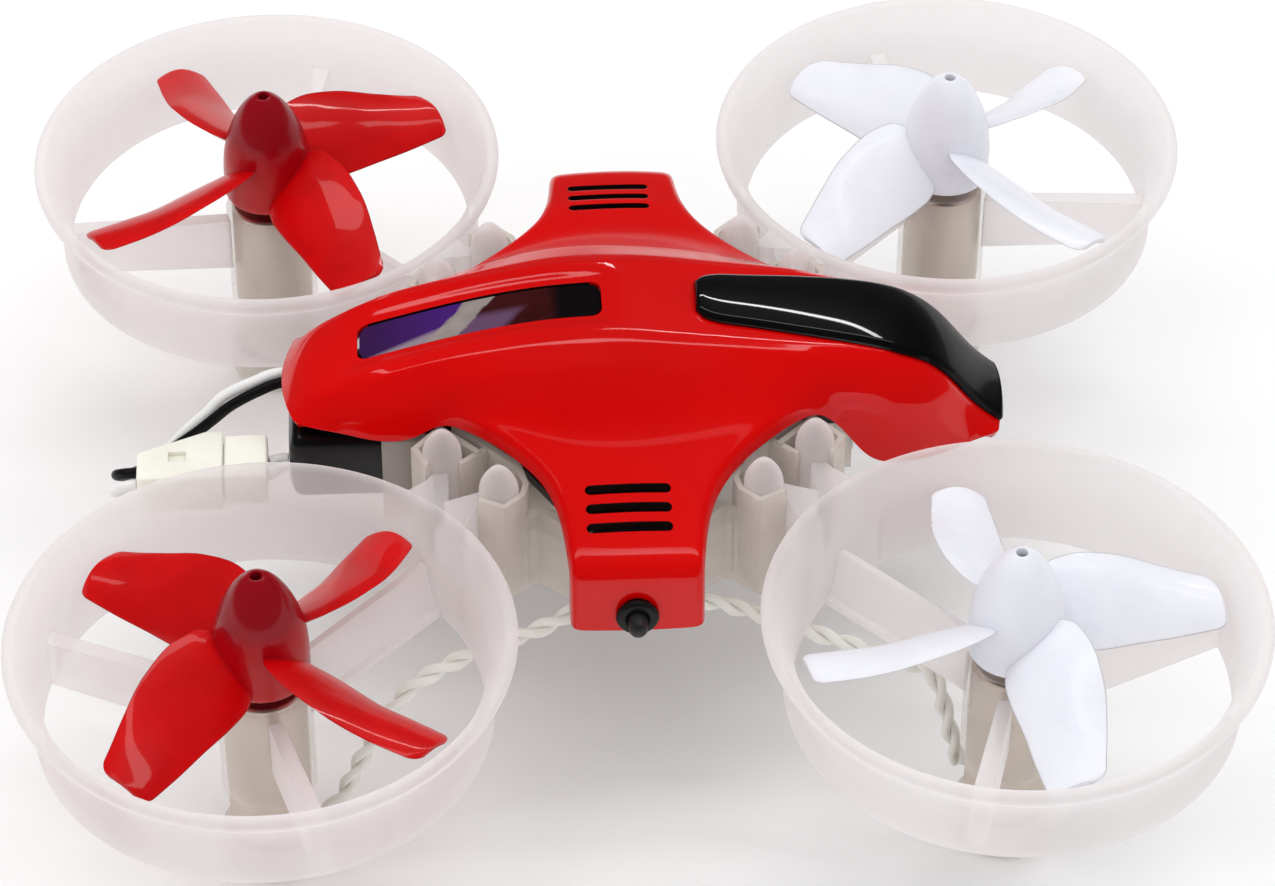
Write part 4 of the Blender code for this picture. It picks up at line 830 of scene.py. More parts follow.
def blade_ring(sense, angle, r):
    """The blade's section at radius r: out along its top, back along its underside."""
    cosine, sine = math.cos(math.radians(angle)), math.sin(math.radians(angle))
    near = max(0.0, r - (PROP_R - TIP_CORNER))
    inset = TIP_CORNER - math.sqrt(max(0.0, TIP_CORNER**2 - near**2))
    lead, trail = blade_lead(r) - inset, blade_trail(r) + inset
    pitch = math.radians(blade_pitch(r))
    thick = BLADE_THICK * (1.25 - 0.6 * (r - BLADE_ROOT) / 12.5)
    ring = []
    for k in range(2 * CHORD_STEPS):
        if k <= CHORD_STEPS:
            part, side = k / CHORD_STEPS, 1
        else:
            part, side = 2 - k / CHORD_STEPS, -1
        chord = trail + (lead - trail) * part
        camber = 0.38 * (1 - (2 * part - 1) ** 2)
        height = (camber + side * thick / 2 * math.sqrt(max(0.0, 1 - abs(2 * part - 1) ** 3))
                  + (0.06 * side if k in (0, CHORD_STEPS) else 0))
        across = chord * math.cos(pitch) - height * math.sin(pitch)
        rise = chord * math.sin(pitch) + height * math.cos(pitch)
        x, y = r * math.cos(across / r), r * math.sin(across / r) * sense
        ring.append((x * cosine - y * sine, x * sine + y * cosine, blade_z(r) + rise + RIM_Z))
    return ring


def make_blade(sense, angle):
    verts = [point for r in BLADE_RADII for point in blade_ring(sense, angle, r)]
    n = 2 * CHORD_STEPS
    last = len(BLADE_RADII) - 1
    faces = []
    for i in range(last):
        for k in range(n):
            a, b = i * n + k, i * n + (k + 1) % n
            faces.append([a, b, b + n, a + n])
    # flat ends in strips from edge to edge
    for start, forward in ((0, True), (last * n, False)):
        for k in range(n // 2):
            loop = [start + k, start + k + 1, start + (n - k - 1) % n, start + (n - k) % n]
            loop = list(dict.fromkeys(loop))
            if len(loop) > 2:
                faces.append(loop if forward else loop[::-1])
    return new_mesh("blade", verts, faces)


for sense in (1, -1):
    hub = turned("hub", SPINNER, at=(0, 0, RIM_Z), steps=72)
    prop = union(hub, [make_blade(sense, 90 * k) for k in range(4)])
    for name, (x_side, y_side, rotor_sense, angle) in ROTORS.items():
        if rotor_sense != sense:
            continue
        colour = "white" if x_side > 0 else "red"
        done(at_rotor(prop, x_side, y_side, math.radians(angle)), "rotor_blades_" + name, colour,
             "rotor_" + name, "propeller_" + name, slot="prop_" + colour, smooth=35)
    bpy.data.objects.remove(prop, do_unlink=True)

# --- frame ---
PLATE_Z = (RIM_Z - 5.65, RIM_Z - 4.55)
# front left quarter of the plate's outline: x, y
PLATE = [(17.2, 3.0), (14.2, 7.6), (7.6, 10.4), (4.2, 13.0), (3.6, 19.5), (2.6, 21.5)]
# walls at each corner: name, plan as (along the diagonal, across it), low and top from the lip;
# each pocket goes round one peg, and the first also runs across the back of both
CORNER_WALLS = (
    ("pocket", [(18.45, -2.62), (17.85, -4.78), (15.7, -4.82), (14.65, -4.2), (13.45, -2.2),
                (13.45, 4.3), (14.0, 4.3), (14.0, -2.05), (14.95, -3.85), (15.8, -4.38),
                (17.5, -4.34), (17.97, -2.7)], (-8.05, CUP_TOP)),
    ("pocket", [(18.45, 2.62), (17.75, 4.78), (14.45, 4.98), (14.45, 0.8), (14.93, 0.8),
                (14.9, 4.5), (17.4, 4.34), (17.97, 2.7)], (-8.05, CUP_TOP)),
    ("rib", [(13.7, 0.5), (13.7, 1.05), (16.35, 1.3), (16.35, 0.9)], (-6.9, CUP_TOP - 0.1)),
    ("foot", [(8.5, -4.5), (13.7, -2.3), (13.7, 4.0), (8.5, 4.5)], (-5.5, -4.7)),
)
# upright webs of each quarter: path in x, y; half thickness; low and top from the lip
WEBS = (
    (((7.9, 14.3), (6.6, 13.9), (3.75, 16.3)), 0.3, -8.0, -0.7),
    (((3.9, 16.1), (3.0, 18.3), (2.2, 21.0)), 0.32, -5.6, -1.1),
)
POSTS = ((-4.5, 9.0), (3.0, 9.6), (-4.5, -9.0), (3.0, -9.6), (12.0, 3.0), (12.0, -3.0))
# radius, height
PIN = [(0.0, 4.2), (0.3, 4.16), (0.52, 4.02), (0.66, 3.8), (0.7, 3.5), (0.7, 0.0), (0.0, 0.0)]


def make_frame():
    outline = PLATE + [(-x, y) for x, y in PLATE[::-1]]
    outline += [(x, -y) for x, y in outline[::-1]]
    holes = [[(2.5, s * 12.4), (2.3, s * 19.2), (-2.3, s * 19.2), (-2.5, s * 12.4)]
             for s in (-1, 1)]
    base = prism("frame", [outline] + holes, PLATE_Z)
    pieces = [block("bay", x=(-18.1, 4.7), y=(-6.6, 6.6), z=(-8.0, -0.35))]
    for x_side, y_side, _, _ in ROTORS.values():
        corner = Matrix.Translation((0, 0, RIM_Z * MM))
        corner = corner @ Matrix.Rotation(math.atan2(y_side, x_side), 4, "Z")
        flip = x_side * y_side
        for name, plan, z_range in CORNER_WALLS:
            outline = [(along, -flip * across) for along, across in plan]
            pieces.append(prism(name, [outline], z_range, corner))
        for path, half, low, top in WEBS:
            outline = strip([(x_side * x, y_side * y) for x, y in path], half)
            pieces.append(prism("web", [outline], (RIM_Z + low, RIM_Z + top)))
    for side in (-1, 1):
        ends = sorted((side * 20.2, side * 21.7))
        pieces.append(block("boss", x=(-2.3, 2.3), y=ends, z=(-5.1, -0.9)))
        ends = sorted((side * 5.95, side * 6.5))
        pieces.append(block("leg", x=(-12.4, -10.2), y=ends, z=(-1.5, 1.4)))
    for x, y in POSTS:
        pieces.append(rod("post", 0.9, 2.4, at=(x, y, RIM_Z - 3.6), axis=(0, 0, 1), vertices=24))
    pieces.append(block("nose", x=(15.8, 16.8), y=(-5.5, 5.5), z=(-5.3, 0.4)))
    pieces.append(block("bridge", x=(-12.3, -10.3), y=(-6.4, 6.4), z=(0.8, 1.5)))
    base = union(base, pieces)
    return carve(base, [block("room", x=(-19.0, 3.6), y=(-5.85, 5.85), z=(-7.4, 0.75)),
                        block("window", x=(-13.0, -1.0), y=(-3.6, 3.6), z=(-9, -6))])


done(make_frame(), "frame_moulding", "frame", "airframe", "main_frame", slot="frame_clear")
# the pins at the ends of the side arms, through the grommets
for side, side_name in SIDES:
    pin = turned("pin", PIN)
    pin.matrix_world = aimed((0, side * 21.2, RIM_Z + EYE_Z), (0, side, 0))
    done(pin, "frame_pin_" + side_name, "dark", "airframe", slot="frame_clear")

# --- canopy ---
# heights are from the lip
ridge_z = curve_through([
    (-25.5, 0.1), (-24.7, 1.1), (-23.6, 2.15), (-21.6, 3.05), (-19.2, 4.12), (-15.2, 5.35),
    (-10.5, 6.62), (-6.5, 7.37), (-3.4, 7.66), (-0.1, 7.62), (4.1, 7.12), (8.8, 6.45),
    (13.5, 5.75), (18.3, 4.85), (20.8, 4.05), (23.0, 2.75), (25.3, -0.2), (27.3, -2.75),
    (28.5, -3.4)])
# the spine's top is slightly hollow along the window
dish = curve_through([(-23.0, 0.0), (-20.5, 0.2), (-19.0, 0.42), (-3.0, 0.42), (-1.2, 0.2),
                      (1.5, 0.0), (30.0, 0.0)])
# columns of the cage: x, ridge half width, then (y, z) of the three rows below the ridge
SPINE = [
    (-25.5, 3.2, (3.9, 0.1), (4.3, 0.1), (4.7, 0.08)),
    (-24.75, 3.3, (4.1, 0.85), (4.7, 0.5), (5.2, 0.05)),
    (-23.6, 3.5, (4.3, 1.8), (5.1, 0.9), (5.6, 0.0)),
    (-21.6, 3.7, (4.5, 2.75), (5.5, 1.4), (6.1, 0.0)),
    (-19.0, 3.75, (4.6, 3.85), (6.0, 2.1), (6.8, 0.0)),
    (-16.0, 3.7, (4.6, 4.95), (6.4, 2.8), (7.25, 0.0)),
    (-14.0, 3.65, (4.6, 5.5), (6.3, 3.9), (7.3, 1.9)),
    (-12.3, 3.6, (4.6, 5.9), (6.2, 4.9), (7.4, 3.4)),
    (-9.5, 3.6, (4.7, 6.55), (6.4, 5.7), (8.3, 4.2)),
    (-6.8, 3.65, (4.7, 7.1), (6.7, 6.25), (8.6, 4.8)),
    (-4.6, 3.7, (4.8, 7.32), (6.85, 6.5), (8.9, 5.1)),
    (-2.4, 3.8, (4.8, 7.39), (6.9, 6.6), (9.0, 5.2)),
    (0.1, 3.9, (4.9, 7.34), (6.95, 6.45), (9.0, 5.15)),
    (2.5, 4.0, (4.9, 7.14), (6.95, 6.2), (8.95, 5.0)),
    (4.7, 4.0, (4.9, 6.8), (6.9, 5.9), (8.8, 4.75)),
    (6.9, 4.0, (4.9, 6.47), (6.75, 5.5), (8.6, 4.35)),
    (9.6, 4.0, (4.9, 6.08), (6.5, 4.95), (8.3, 3.7)),
    (12.5, 3.95, (4.8, 5.66), (6.3, 4.4), (7.4, 3.1)),
    (14.3, 3.9, (4.7, 5.35), (6.2, 3.7), (7.1, 1.9)),
    (16.2, 3.8, (4.7, 4.8), (6.3, 2.8), (7.05, -0.3)),
    (18.0, 3.7, (4.6, 4.4), (6.5, 1.6), (7.2, -3.3)),
    (20.5, 3.6, (4.5, 3.65), (6.2, 1.0), (7.0, -3.6)),
    (22.6, 3.3, (4.2, 2.6), (5.8, 0.0), (6.5, -3.6)),
    (24.3, 3.1, (3.9, 0.8), (5.1, -1.2), (5.9, -3.5)),
    (26.3, 3.0, (3.7, -1.8), (4.6, -2.6), (5.1, -3.4)),
    (28.4, 2.9, (3.4, -3.45), (3.8, -3.45), (4.2, -3.4)),
]
TAB_FIRST, TAB_LAST = 7, 17       # the columns of the spine that carry the side tabs
# rows of a side tab, outwards: rear edge (x, y, z), middle (y, z), front edge (x, y, z)
TAB = [
    ((-10.0, 9.2, 3.5), (11.0, 4.0), (10.3, 9.1, 3.05)),
    ((-7.75, 11.4, 3.4), (12.8, 3.45), (8.05, 11.4, 2.95)),
    ((-5.9, 13.8, 3.15), (14.6, 3.15), (6.25, 13.9, 2.75)),
    ((-4.95, 16.3, 2.6), (16.7, 2.75), (5.2, 16.4, 2.4)),
    ((-4.55, 19.0, 2.0), (19.1, 2.1), (4.72, 19.0, 1.9)),
    ((-4.42, 21.3, 1.45), (21.4, 1.6), (4.55, 21.3, 1.4)),
    ((-4.36, 22.35, 0.95), (22.5, 1.1), (4.5, 22.35, 0.9)),
    ((-4.36, 22.8, -0.4), (22.95, -0.4), (4.48, 22.8, -0.4)),
    ((-4.36, 23.1, -2.2), (23.25, -2.2), (4.48, 23.1, -2.2)),
    ((-4.36, 23.3, -3.95), (23.45, -3.95), (4.48, 23.3, -3.95)),
]
SKIRT = ((0.38, 0.45), (0.45, 1.35))       # (outwards, down) of the two loops of the rolled edge
# "down" of the rolled edge where the tab bends over; before it is -z, beyond it -y
SKIRT_BEND = {5: (0, -0.45, -0.9), 6: (0, -0.8, -0.6)}
# long edges kept crisp: both edges of the chamfer along the spine, and the line where the
# side steepens; row, x from, x to, weight
CREASES = ((2, -21.7, 20.9, 0.62), (3, -19.5, 14.5, 0.45), (4, -14.1, 12.6, 0.6))
SHELL_THICK = 0.7
VENT_Y = (15.85, 17.45, 19.05)
VENT_X = (-3.45, 2.75)
VENT_W = 0.8
WINDOW_X = (-19.9, -1.4)
WINDOW_HALF = 2.05
WINDOW_CORNER = 0.8
PANE_INSET = 0.3
GROMMET = [
    (0.78, 0.45, 0.1), (0.95, 0.6, 0.15), (1.4, 0.56, 0.25), (1.56, 0.3, 0.2), (1.54, 0.06, 0.05),
    (1.22, 0.04, 0), (1.22, -1.15, 0.05), (0.78, -1.15, 0),
]
panel_half = curve_through([(5.3, 1.5), (5.9, 2.25), (7.2, 2.65), (9, 2.8), (13, 3.2), (17, 3.5),
                            (20, 3.6), (22.5, 3.35), (25, 3.1), (29, 3.0)])


def pane_half(x):
    """Half width of the window pane, with rounded corners."""
    r = WINDOW_CORNER
    depth = min(x - WINDOW_X[0], WINDOW_X[1] - x) - PANE_INSET
    cut = r - math.sqrt(max(0.0, r**2 - (r - depth) ** 2)) if depth < r else 0.0
    return WINDOW_HALF - PANE_INSET - cut


def clamp(value):
    return max(0.0, min(1.0, value))


def canopy_cage():
    """Coarse cage of the left half of the canopy, open at y = 0."""
    verts, faces, ids = [], [], {}

    def add(key, x, y, z):
        ids[key] = len(verts)
        verts.append((x, y, z + RIM_Z))

    def sheet(part, cells):
        for i, j in cells:
            faces.append([ids[part, i, j], ids[part, i + 1, j],
                          ids[part, i + 1, j + 1], ids[part, i, j + 1]])

    for i, (x, half, *lower) in enumerate(SPINE):
        bow = clamp((-x - 19.0) / 4.0) * 0.6
        nose = clamp((x - 24.0) / 3.0) * -0.35
        rows = [(0, ridge_z(x) + 0.1 - dish(x)), (half * 0.5, ridge_z(x) + 0.08 - dish(x)),
                (half, ridge_z(x) + 0.02)] + lower
        for j, (y, z) in enumerate(rows):
            add(("spine", i, j), x + (bow + nose) * (y / 3.6) ** 2, y, z)
    sheet("spine", ((i, j) for i in range(len(SPINE) - 1) for j in range(5)))

    columns = TAB_LAST - TAB_FIRST
    x_first, x_last = SPINE[TAB_FIRST][0], SPINE[TAB_LAST][0]
    for i in range(columns + 1):
        ids["tab", i, -1] = ids["spine", TAB_FIRST + i, 5]
    for k, (rear, middle, front) in enumerate(TAB):
        for i in range(columns + 1):
            part = (SPINE[TAB_FIRST + i][0] - x_first) / (x_last - x_first)
            arch = 1 - (2 * part - 1) ** 2
            x, y, z = (start + (end - start) * part for start, end in zip(rear, front))
            add(("tab", i, k), x, y + (middle[0] - y) * arch, z + (middle[1] - z) * arch)
    last = len(TAB) - 1
    sheet("tab", ((i, k) for k in range(-1, last) for i in range(columns)))

    # rolled edges down the rear and front of the tab
    for i, sense in ((0, -1), (columns, 1)):
        previous = None
        for k in range(-1, last + 1):
            point, before, after = (Vector(verts[ids["tab", i, row]])
                                    for row in (k, max(k - 1, -1), min(k + 1, last)))
            along = after - before
            flat = k < 6
            out = Vector((sense * abs(along.y) if flat else sense,
                          abs(along.x) if flat else 0, 0)).normalized()
            down = Vector(SKIRT_BEND.get(k, (0, 0, -1) if k < 5 else (0, -1, 0)))
            loop = [ids["tab", i, k]]
            for s, (outwards, drop) in enumerate(SKIRT):
                place = point + out * outwards + down * drop
                add(("skirt", i, k, s), place.x, place.y, place.z - RIM_Z)
                loop.append(ids["skirt", i, k, s])
            if previous:
                for s in range(2):
                    faces.append([previous[s], loop[s], loop[s + 1], previous[s + 1]])
            previous = loop
        # the corner where the rolled edge runs out into the side of the spine
        near = TAB_FIRST - 1 if i == 0 else TAB_LAST + 1
        faces.append([ids["spine", near, 5], ids["tab", i, -1],
                      ids["skirt", i, -1, 0], ids["skirt", i, -1, 1]])

    cage = new_mesh("cage", verts, faces)
    work = bmesh.new()
    work.from_mesh(cage.data)
    bmesh.ops.recalc_face_normals(work, faces=work.faces)
    # the sheet is open, so its topmost face decides which side is out
    top = max(work.faces, key=lambda face: face.calc_center_median().z)
    if top.normal.z < 0:
        bmesh.ops.reverse_faces(work, faces=work.faces)
    crease = work.edges.layers.float.new("crease_edge")
    work.verts.ensure_lookup_table()
    for row, x_from, x_to, weight in CREASES:
        for i in range(len(SPINE) - 1):
            if x_from < SPINE[i][0] and SPINE[i + 1][0] < x_to:
                ends = [work.verts[ids["spine", column, row]] for column in (i, i + 1)]
                work.edges.get(ends)[crease] = weight
    work.to_mesh(cage.data)
    work.free()
    return cage


def canopy_surface(thickness=0.0):
    """The whole canopy's outer surface, given a thickness inwards if asked."""
    canopy = canopy_cage()
    mirror = canopy.modifiers.new("Mirror", "MIRROR")
    mirror.use_axis = (False, True, False)
    mirror.use_clip = True
    mirror.merge_threshold = 0.00005
    subdivision = canopy.modifiers.new("Subdivision", "SUBSURF")
    subdivision.levels = subdivision.render_levels = 3
    subdivision.boundary_smooth = "ALL"
    canopy = meshed(canopy)
    # a shallow sunk field round the window
    for vert in canopy.data.vertices:
        x, y = vert.co.x / MM, abs(vert.co.y / MM)
        if vert.co.z > (RIM_Z + 2) * MM and y < 4 and x < 1:
            sides = [clamp(t / 0.9) for t in (3.1 - y, x + 21.0, -0.4 - x)]
            vert.co.z -= 0.16 * MM * math.prod(t * t * (3 - 2 * t) for t in sides)
    if thickness:
        solidify = canopy.modifiers.new("Solidify", "SOLIDIFY")
        solidify.thickness = thickness * MM
        solidify.offset = -1
        solidify.use_even_offset = False
        canopy = meshed(canopy)
    return canopy


def plate_on(skin, name, x_range, half, low, high, columns, rows, bulge=0.0, soft=0.0):
    """A plate over x_range and +-half(x), from low to high above the skin.

    `bulge` raises its middle line and `soft` chamfers its upper edge.
    """
    x0, x1 = x_range

    def surface(x, y):
        hit = skin.ray_cast(Vector((x * MM, y * MM, 0.1)), Vector((0, 0, -1)))
        if hit[0] is None:
            hit = skin.find_nearest(Vector((x * MM, y * MM, (ridge_z(x) + RIM_Z) * MM)))
        return hit[0] / MM, hit[1]

    layers = [(0.0, low)]
    layers += [(0.0, high - soft), (soft, high)] if soft else [(0.0, high)]
    verts, faces, grid = [], [], {}
    for s, (inset, lift) in enumerate(layers):
        for i in range(columns + 1):
            x = x0 + (x1 - x0) * (i / columns)
            x = min(max(x, x0 + inset), x1 - inset)
            for j in range(rows + 1):
                across = 2 * j / rows - 1
                point, normal = surface(min(max(x, x0 + 0.02), x1 - 0.02),
                                        across * (half(x) - inset))
                point = point + normal * (lift + bulge * (1 - across * across))
                grid[s, i, j] = len(verts)
                verts.append(tuple(point))
    top = len(layers) - 1
    for i in range(columns):
        for j in range(rows):
            faces.append([grid[0, i, j], grid[0, i, j + 1],
                          grid[0, i + 1, j + 1], grid[0, i + 1, j]])
            faces.append([grid[top, i, j], grid[top, i + 1, j],
                          grid[top, i + 1, j + 1], grid[top, i, j + 1]])
    for s in range(top):
        for i in range(columns):
            for j in (0, rows):
                faces.append([grid[s, i, j], grid[s, i + 1, j],
                              grid[s + 1, i + 1, j], grid[s + 1, i, j]])
        for j in range(rows):
            for i in (0, columns):
                faces.append([grid[s, i, j], grid[s, i, j + 1],
                              grid[s + 1, i, j + 1], grid[s + 1, i, j]])
    return new_mesh(name, verts, faces)


def canopy_cutters():
    cutters = []
    for side in (-1, 1):
        for y in VENT_Y:
            slot = rounded_slot(*VENT_X, side * y, VENT_W, steps=10)
            cutters.append(prism("vent", [slot], (RIM_Z - 1.5, RIM_Z + 6)))
        cutters.append(rod("eye", 1.3, 3.0, at=(0, side * 22.8, RIM_Z + EYE_Z), axis=(0, 1, 0),
                           vertices=48))
    opening = rounded_rect(WINDOW_X[0] + 0.2, WINDOW_X[1] - 0.2, -WINDOW_HALF + 0.15,
                           WINDOW_HALF - 0.15, WINDOW_CORNER, steps=10)
    cutters.append(prism("opening", [opening], (RIM_Z + 1.5, RIM_Z + 12)))
    return cutters


outer = canopy_surface()
shell = carve(canopy_surface(SHELL_THICK), canopy_cutters())
done(shell, "canopy_shell", "canopy", "airframe", "canopy", slot="canopy_red", smooth=38)
# the inner side of the shell, and the walls of its slots, are near black: painted shade, so that the
# vent slots read black
shell.data.materials.append(MATERIALS["inside"])
skin = BVHTree.FromPolygons([vert.co.copy() for vert in outer.data.vertices],
                            [tuple(face.vertices) for face in outer.data.polygons])
for face in shell.data.polygons:
    center = face.center
    deep = skin.find_nearest(center)[3] / MM
    in_slot = abs(center.x) < 3.7 * MM and 15.2 * MM < abs(center.y) < 19.7 * MM
    if deep > 0.45 or (in_slot and deep > 0.08):
        face.material_index = 1

panel = plate_on(skin, "panel", (5.25, 28.2), panel_half, low=0.05, high=0.55, columns=96,
                 rows=24, bulge=0.3, soft=0.28)
done(panel, "windscreen", "panel", "airframe", "windscreen_panel", slot="panel_black", smooth=50)
pane = plate_on(skin, "window", (WINDOW_X[0] + PANE_INSET, WINDOW_X[1] - PANE_INSET), pane_half,
                low=-0.5, high=-0.1, columns=72, rows=12)
done(pane, "window_pane", "window", "airframe", "rear_window", slot="window_smoke", smooth=50)
bpy.data.objects.remove(outer, do_unlink=True)

for side, side_name in SIDES:
    grommet = turned("grommet", fillet(GROMMET), steps=48)
    grommet.matrix_world = aimed((0, side * 23.4, RIM_Z + EYE_Z), (0, side, 0))
    done(grommet, "grommet_ring_" + side_name, "rubber", "airframe", "grommet_" + side_name,
         slot="rubber_black")

# --- wires ---
# routes: x, y, z from the lip; the motor leads run from the board to a motor's foot,
# with x and y times the motor's x side and minus its y side
LEAD_START = [(1.25, -13.2, -3.2), (1.3, -14.3, -4.9), (2.0, -15.6, -6.3), (3.2, -16.9, -7.0)]
LEAD_FRONT = [
    (5.8, -17.4, -7.3), (8.0, -17.2, -8.3), (10.4, -17.7, -9.0), (13.0, -18.6, -9.5),
    (16.4, -19.8, -10.0), (19.5, -20.9, -10.4), (21.5, -21.6, -11.0), (22.3, -22.3, -12.5),
    (22.9, -23.0, -15.0), (23.4, -23.5, -17.0), (23.75, -23.85, -18.4),
]
LEAD_REAR = [
    (4.6, -18.0, -7.4), (6.9, -18.7, -8.2), (9.8, -19.4, -8.85), (12.6, -20.3, -9.4),
    (16.1, -21.6, -10.6), (17.7, -22.4, -12.1), (19.1, -23.0, -14.2), (20.6, -23.7, -17.0),
    (21.8, -24.25, -19.4), (23.2, -24.95, -20.6),
]
# the leads that loop behind the craft and run forwards to the board
BOARD_LEADS = {
    "black": [
        (-36.3, -5.55, -3.7), (-37.2, -5.5, -3.8), (-37.85, -4.95, -4.4), (-37.3, -4.0, -5.3),
        (-35.8, -2.8, -5.7), (-34.0, -2.1, -4.7), (-32.0, -1.9, -3.2), (-30.6, -1.4, -2.3),
        (-29.3, -0.8, -1.55), (-27.4, -0.1, -0.9), (-25.3, 0.5, -0.5), (-22.0, 0.55, -0.5),
        (-12.5, -0.2, -0.5), (-6.0, -0.5, -0.1), (0.0, -0.6, 0.25), (5.0, -0.6, 0.25),
    ],
    "white": [
        (-36.3, -6.65, -3.85), (-37.3, -6.65, -4.05), (-38.05, -6.1, -4.9), (-37.9, -4.9, -6.1),
        (-36.4, -2.9, -6.7), (-34.5, -1.4, -5.7), (-32.9, -0.85, -4.1), (-31.2, -0.4, -2.6),
        (-29.8, 0.15, -1.4), (-27.6, 0.95, -0.8), (-25.2, 1.6, -0.5), (-19.0, 1.5, -0.5),
        (-12.5, 0.9, -0.5), (-6.0, 0.6, -0.1), (0.0, 0.6, 0.25), (5.0, 0.6, 0.25),
    ],
}
for name, (x_side, y_side, _, _) in ROTORS.items():
    route = LEAD_START + (LEAD_FRONT if x_side > 0 else LEAD_REAR)
    route = [(x_side * x, -y_side * y, z + RIM_Z) for x, y, z in route]
    for k in (0, 1):
        path = strand(route, count=260, offset=0.33, turns=7.5, phase=math.pi * k)
        # the first strand stands for the pair
        nodes = ("motor_leads_" + name,) if k == 0 else ()
        done(wire("strand", path, radius=0.35, ring=5), "motor_lead_%s_%s" % ("ab"[k], name),
             "lead", "airframe", *nodes, slot="lead_white", smooth=60)
for colour, route in BOARD_LEADS.items():
    path = smooth_path([(x, y, z + RIM_Z) for x, y, z in route], 220)
    node = "board_lead_" + colour
    done(wire("lead", path, radius=0.42, ring=6), node + "_wire", "lead_" + colour,
         "battery_pack", node, slot="lead_" + colour, smooth=60)
for k, y in enumerate((-4.3, -5.1)):
    route = [(-26.5, 2 * y + 4.0), (-26.1, 1.7 * y + 2.9), (-25.6, 1.2 * y + 0.9), (-25.1, y)]
    path = smooth_path([(x, across, -3.8 + RIM_Z) for x, across in route], 30)
    done(wire("lead", path, radius=0.36, ring=6), "battery_wire_" + "ab"[k], "lead_white",
         "battery_pack", "battery_lead_" + "ab"[k], slot="lead_white", smooth=60)

# --- battery and plug ---
# plan of the socket: x, y
SOCKET = [(-29.9, -7.9), (-29.9, -2.9), (-31.4, -2.9), (-36.2, -4.95), (-36.2, -7.75),
          (-35.9, -7.9)]


def pillow(name, x, y, z, power, seam, sections=72, ring=64):
    """A soft-edged slab lofted along x, its sides drawn in a little away from height `seam`."""
    verts, faces = [], []
    length = x[1] - x[0]
    mid_y, mid_z = (y[0] + y[1]) / 2, (z[0] + z[1]) / 2
    for i in range(sections + 1):
        part = i / sections
        from_end = min(part, 1 - part) * length
        pull = 0.0 if from_end > 1.0 else (1 - math.sqrt(max(0.0, 1 - (1 - from_end) ** 2)))
        half_y, half_z = (y[1] - y[0]) / 2 - pull * 0.8, (z[1] - z[0]) / 2 - pull * 0.9
        for j in range(ring):
            angle = 2 * math.pi * j / ring
            cosine, sine = math.cos(angle), math.sin(angle)
            side = math.copysign(abs(cosine) ** (2 / power), cosine) * half_y
            rise = math.copysign(abs(sine) ** (2 / power), sine) * half_z
            if abs(rise + mid_z - seam) > 0.5:
                side -= math.copysign(0.12, side) * min(1, abs(side) / half_y)
            verts.append((x[0] + length * part, mid_y + side, mid_z + rise))
    for i in range(sections):
        for j in range(ring):
            k = (j + 1) % ring
            faces.append([i * ring + j, i * ring + k, (i + 1) * ring + k, (i + 1) * ring + j])
    faces.append(list(range(ring)))
    faces.append([sections * ring + j for j in range(ring)][::-1])
    return new_mesh(name, verts, faces)


cell = pillow("cell", x=(-25.0, 3.0), y=(-5.75, 5.75), z=(RIM_Z - 7.25, RIM_Z - 1.05),
              power=6.0, seam=RIM_Z - 3.4)
done(cell, "battery_cell", "wrap", "battery_pack", "battery", slot="battery_black", smooth=50)

socket = prism("socket", [SOCKET], (RIM_Z - 5.5, RIM_Z - 2.2))
socket = bevelled(socket, 0.22, segments=2 + 1)
socket = carve(socket, [block("mouth", x=(-32.1, -29.0), y=(-7.3, -3.6), z=(-4.95, -2.75)),
                        block("latch", x=(-33.9, -32.6), y=(-6.0, -5.0), z=(-2.55, -1.8))])
done(socket, "socket_body", "nylon", "battery_pack", "socket_housing", slot="housing_white")
plug = bevelled(block("plug", x=(-29.8, -26.6), y=(-7.7, -3.1), z=(-5.3, -2.35)), 0.25, segments=4)
plug = union(plug, [block("plug_nose", x=(-31.8, -29.2), y=(-7.2, -3.7), z=(-4.9, -2.8))])
done(plug, "plug_body", "nylon", "battery_pack", "plug_housing", slot="housing_white")

# --- board ---
BOARD = {
    "flight_board": "mask", "upper_board": "purple", "board_processor": "chip",
    "board_gyro": "chip", "board_receiver": "chip", "board_driver_left": "chip",
    "board_driver_right": "chip", "board_crystal": "tin", "board_capacitor": "ceramic",
    "board_lamp": "lens",
}
for node, material in BOARD.items():
    repaint(node, material)

# --- floor ---
FLOOR = [(-3000, -3000, -0.05), (3000, -3000, -0.05), (3000, 3000, -0.05), (-3000, 3000, -0.05)]
floor = new_mesh("floor", FLOOR, [(0, 1, 2, 3)], smooth=False, collection=scene.collection)
net = Net("floor_pale")
tone = net.mix(net.noise(3.0, detail=2.0), (0.93, 0.93, 0.93), (0.95, 0.95, 0.95))
floor.data.materials.append(net.done(net.out("BsdfPrincipled", Base__Color=tone, Roughness=0.75)))

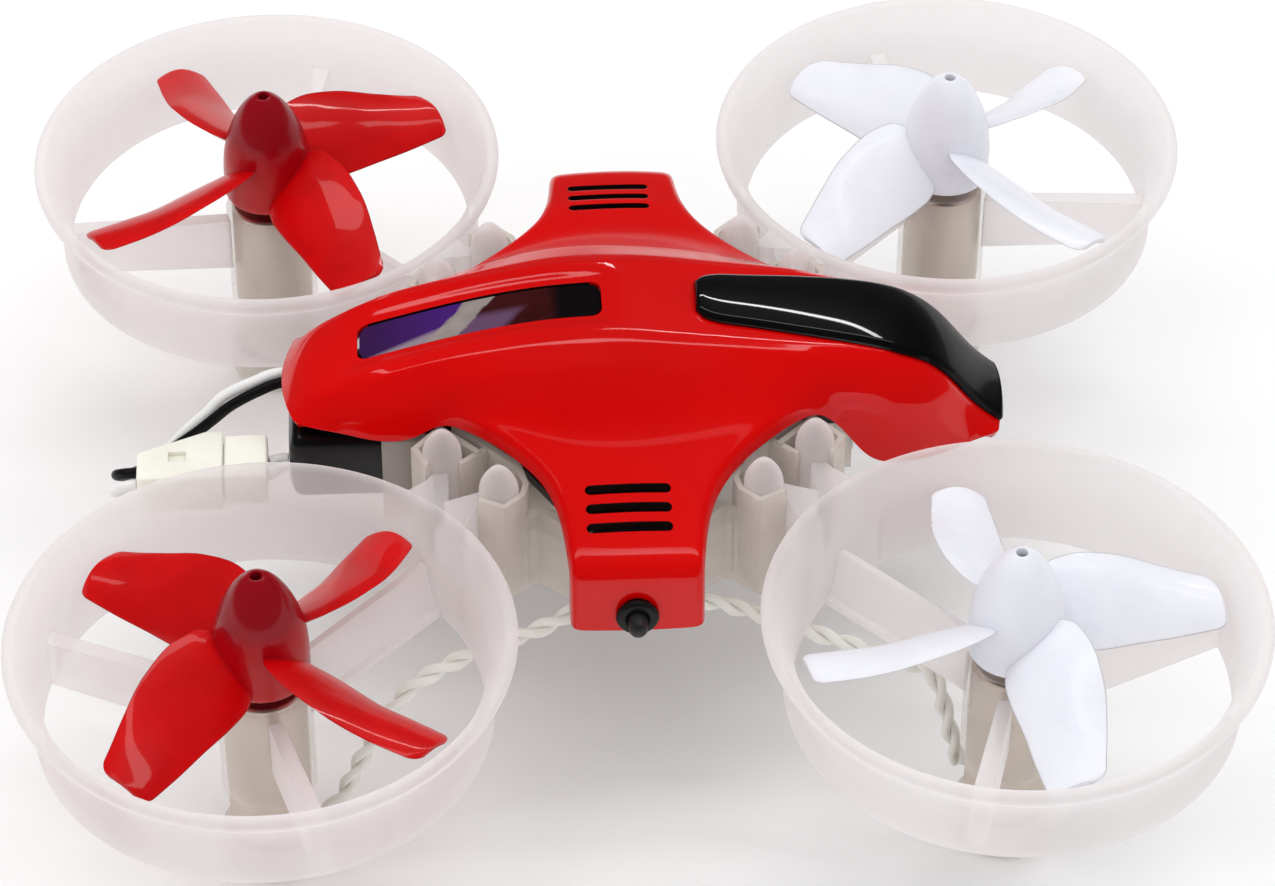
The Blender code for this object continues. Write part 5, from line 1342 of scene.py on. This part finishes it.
# --- world: soft white light that reflections see much dimmer ---
SOFT_STRENGTH = 0.74
REFLECTED_STRENGTH = 0.03
world = bpy.data.worlds.new("studio")
scene.world = world
world.use_nodes = True
nodes, links = world.node_tree.nodes, world.node_tree.links
soft = nodes["Background"]
dim = nodes.new("ShaderNodeBackground")
for background, strength in ((soft, SOFT_STRENGTH), (dim, REFLECTED_STRENGTH)):
    background.inputs[0].default_value = (1.0, 1.0, 1.0, 1)
    background.inputs[1].default_value = strength
rays = nodes.new("ShaderNodeLightPath")
pick = nodes.new("ShaderNodeMixShader")
links.new(rays.outputs["Is Glossy Ray"], pick.inputs[0])
links.new(soft.outputs[0], pick.inputs[1])
links.new(dim.outputs[0], pick.inputs[2])
links.new(pick.outputs[0], nodes["World Output"].inputs[0])

# --- lights ---
LIGHT_TARGET = (0, 0, 0.02)
# name, place, width, depth, power, seen in reflections
LIGHTS = (
    ("key", (0.0, 0.118, 0.60), 0.9, 0.062, 0.6, True),
    ("broad", (0.0, -0.02, 0.75), 0.6, 0.22, 0.8, False),
    ("far", (0.19, 0.385, 0.54), 0.38, 0.022, 0.5, True),
    ("left", (-0.55, -0.1, 0.35), 0.10, 0.3, 0.4, False),
    ("front", (0.15, -0.6, 0.4), 0.4, 0.12, 0.3, False),
)
for name, place, width, depth, power, reflected in LIGHTS:
    light = bpy.data.lights.new(name, "AREA")
    light.shape = "RECTANGLE"
    light.size, light.size_y = width, depth
    light.energy = power
    lamp = link(name, light, scene.collection)
    lamp.location = place
    aim = Vector(LIGHT_TARGET) - Vector(place)
    lamp.rotation_euler = aim.to_track_quat("-Z", "Y").to_euler()
    lamp.visible_glossy = reflected

# --- camera ---
CAMERA_AT = (-0.0124, -0.2715, 0.2645)
heading = math.radians(-2.85)     # from +y, anticlockwise seen from above
dip = math.radians(42.58)         # below the horizon
roll = math.radians(0.22)
forward = Vector((-math.sin(heading) * math.cos(dip), math.cos(heading) * math.cos(dip),
                  -math.sin(dip)))
right = Vector((math.cos(heading), math.sin(heading), 0))
up = right.cross(forward)
camera_x = right * math.cos(roll) + up * math.sin(roll)
camera_y = -right * math.sin(roll) + up * math.cos(roll)
camera = bpy.data.cameras.new("camera")
camera.sensor_width = 36
camera.lens = 137.65
camera.clip_start = 0.01
scene.camera = link("camera", camera, scene.collection)
columns = (camera_x, camera_y, -forward, CAMERA_AT)
scene.camera.matrix_world = Matrix((*zip(*columns), (0, 0, 0, 1)))
scene.view_settings.view_transform = "Standard"
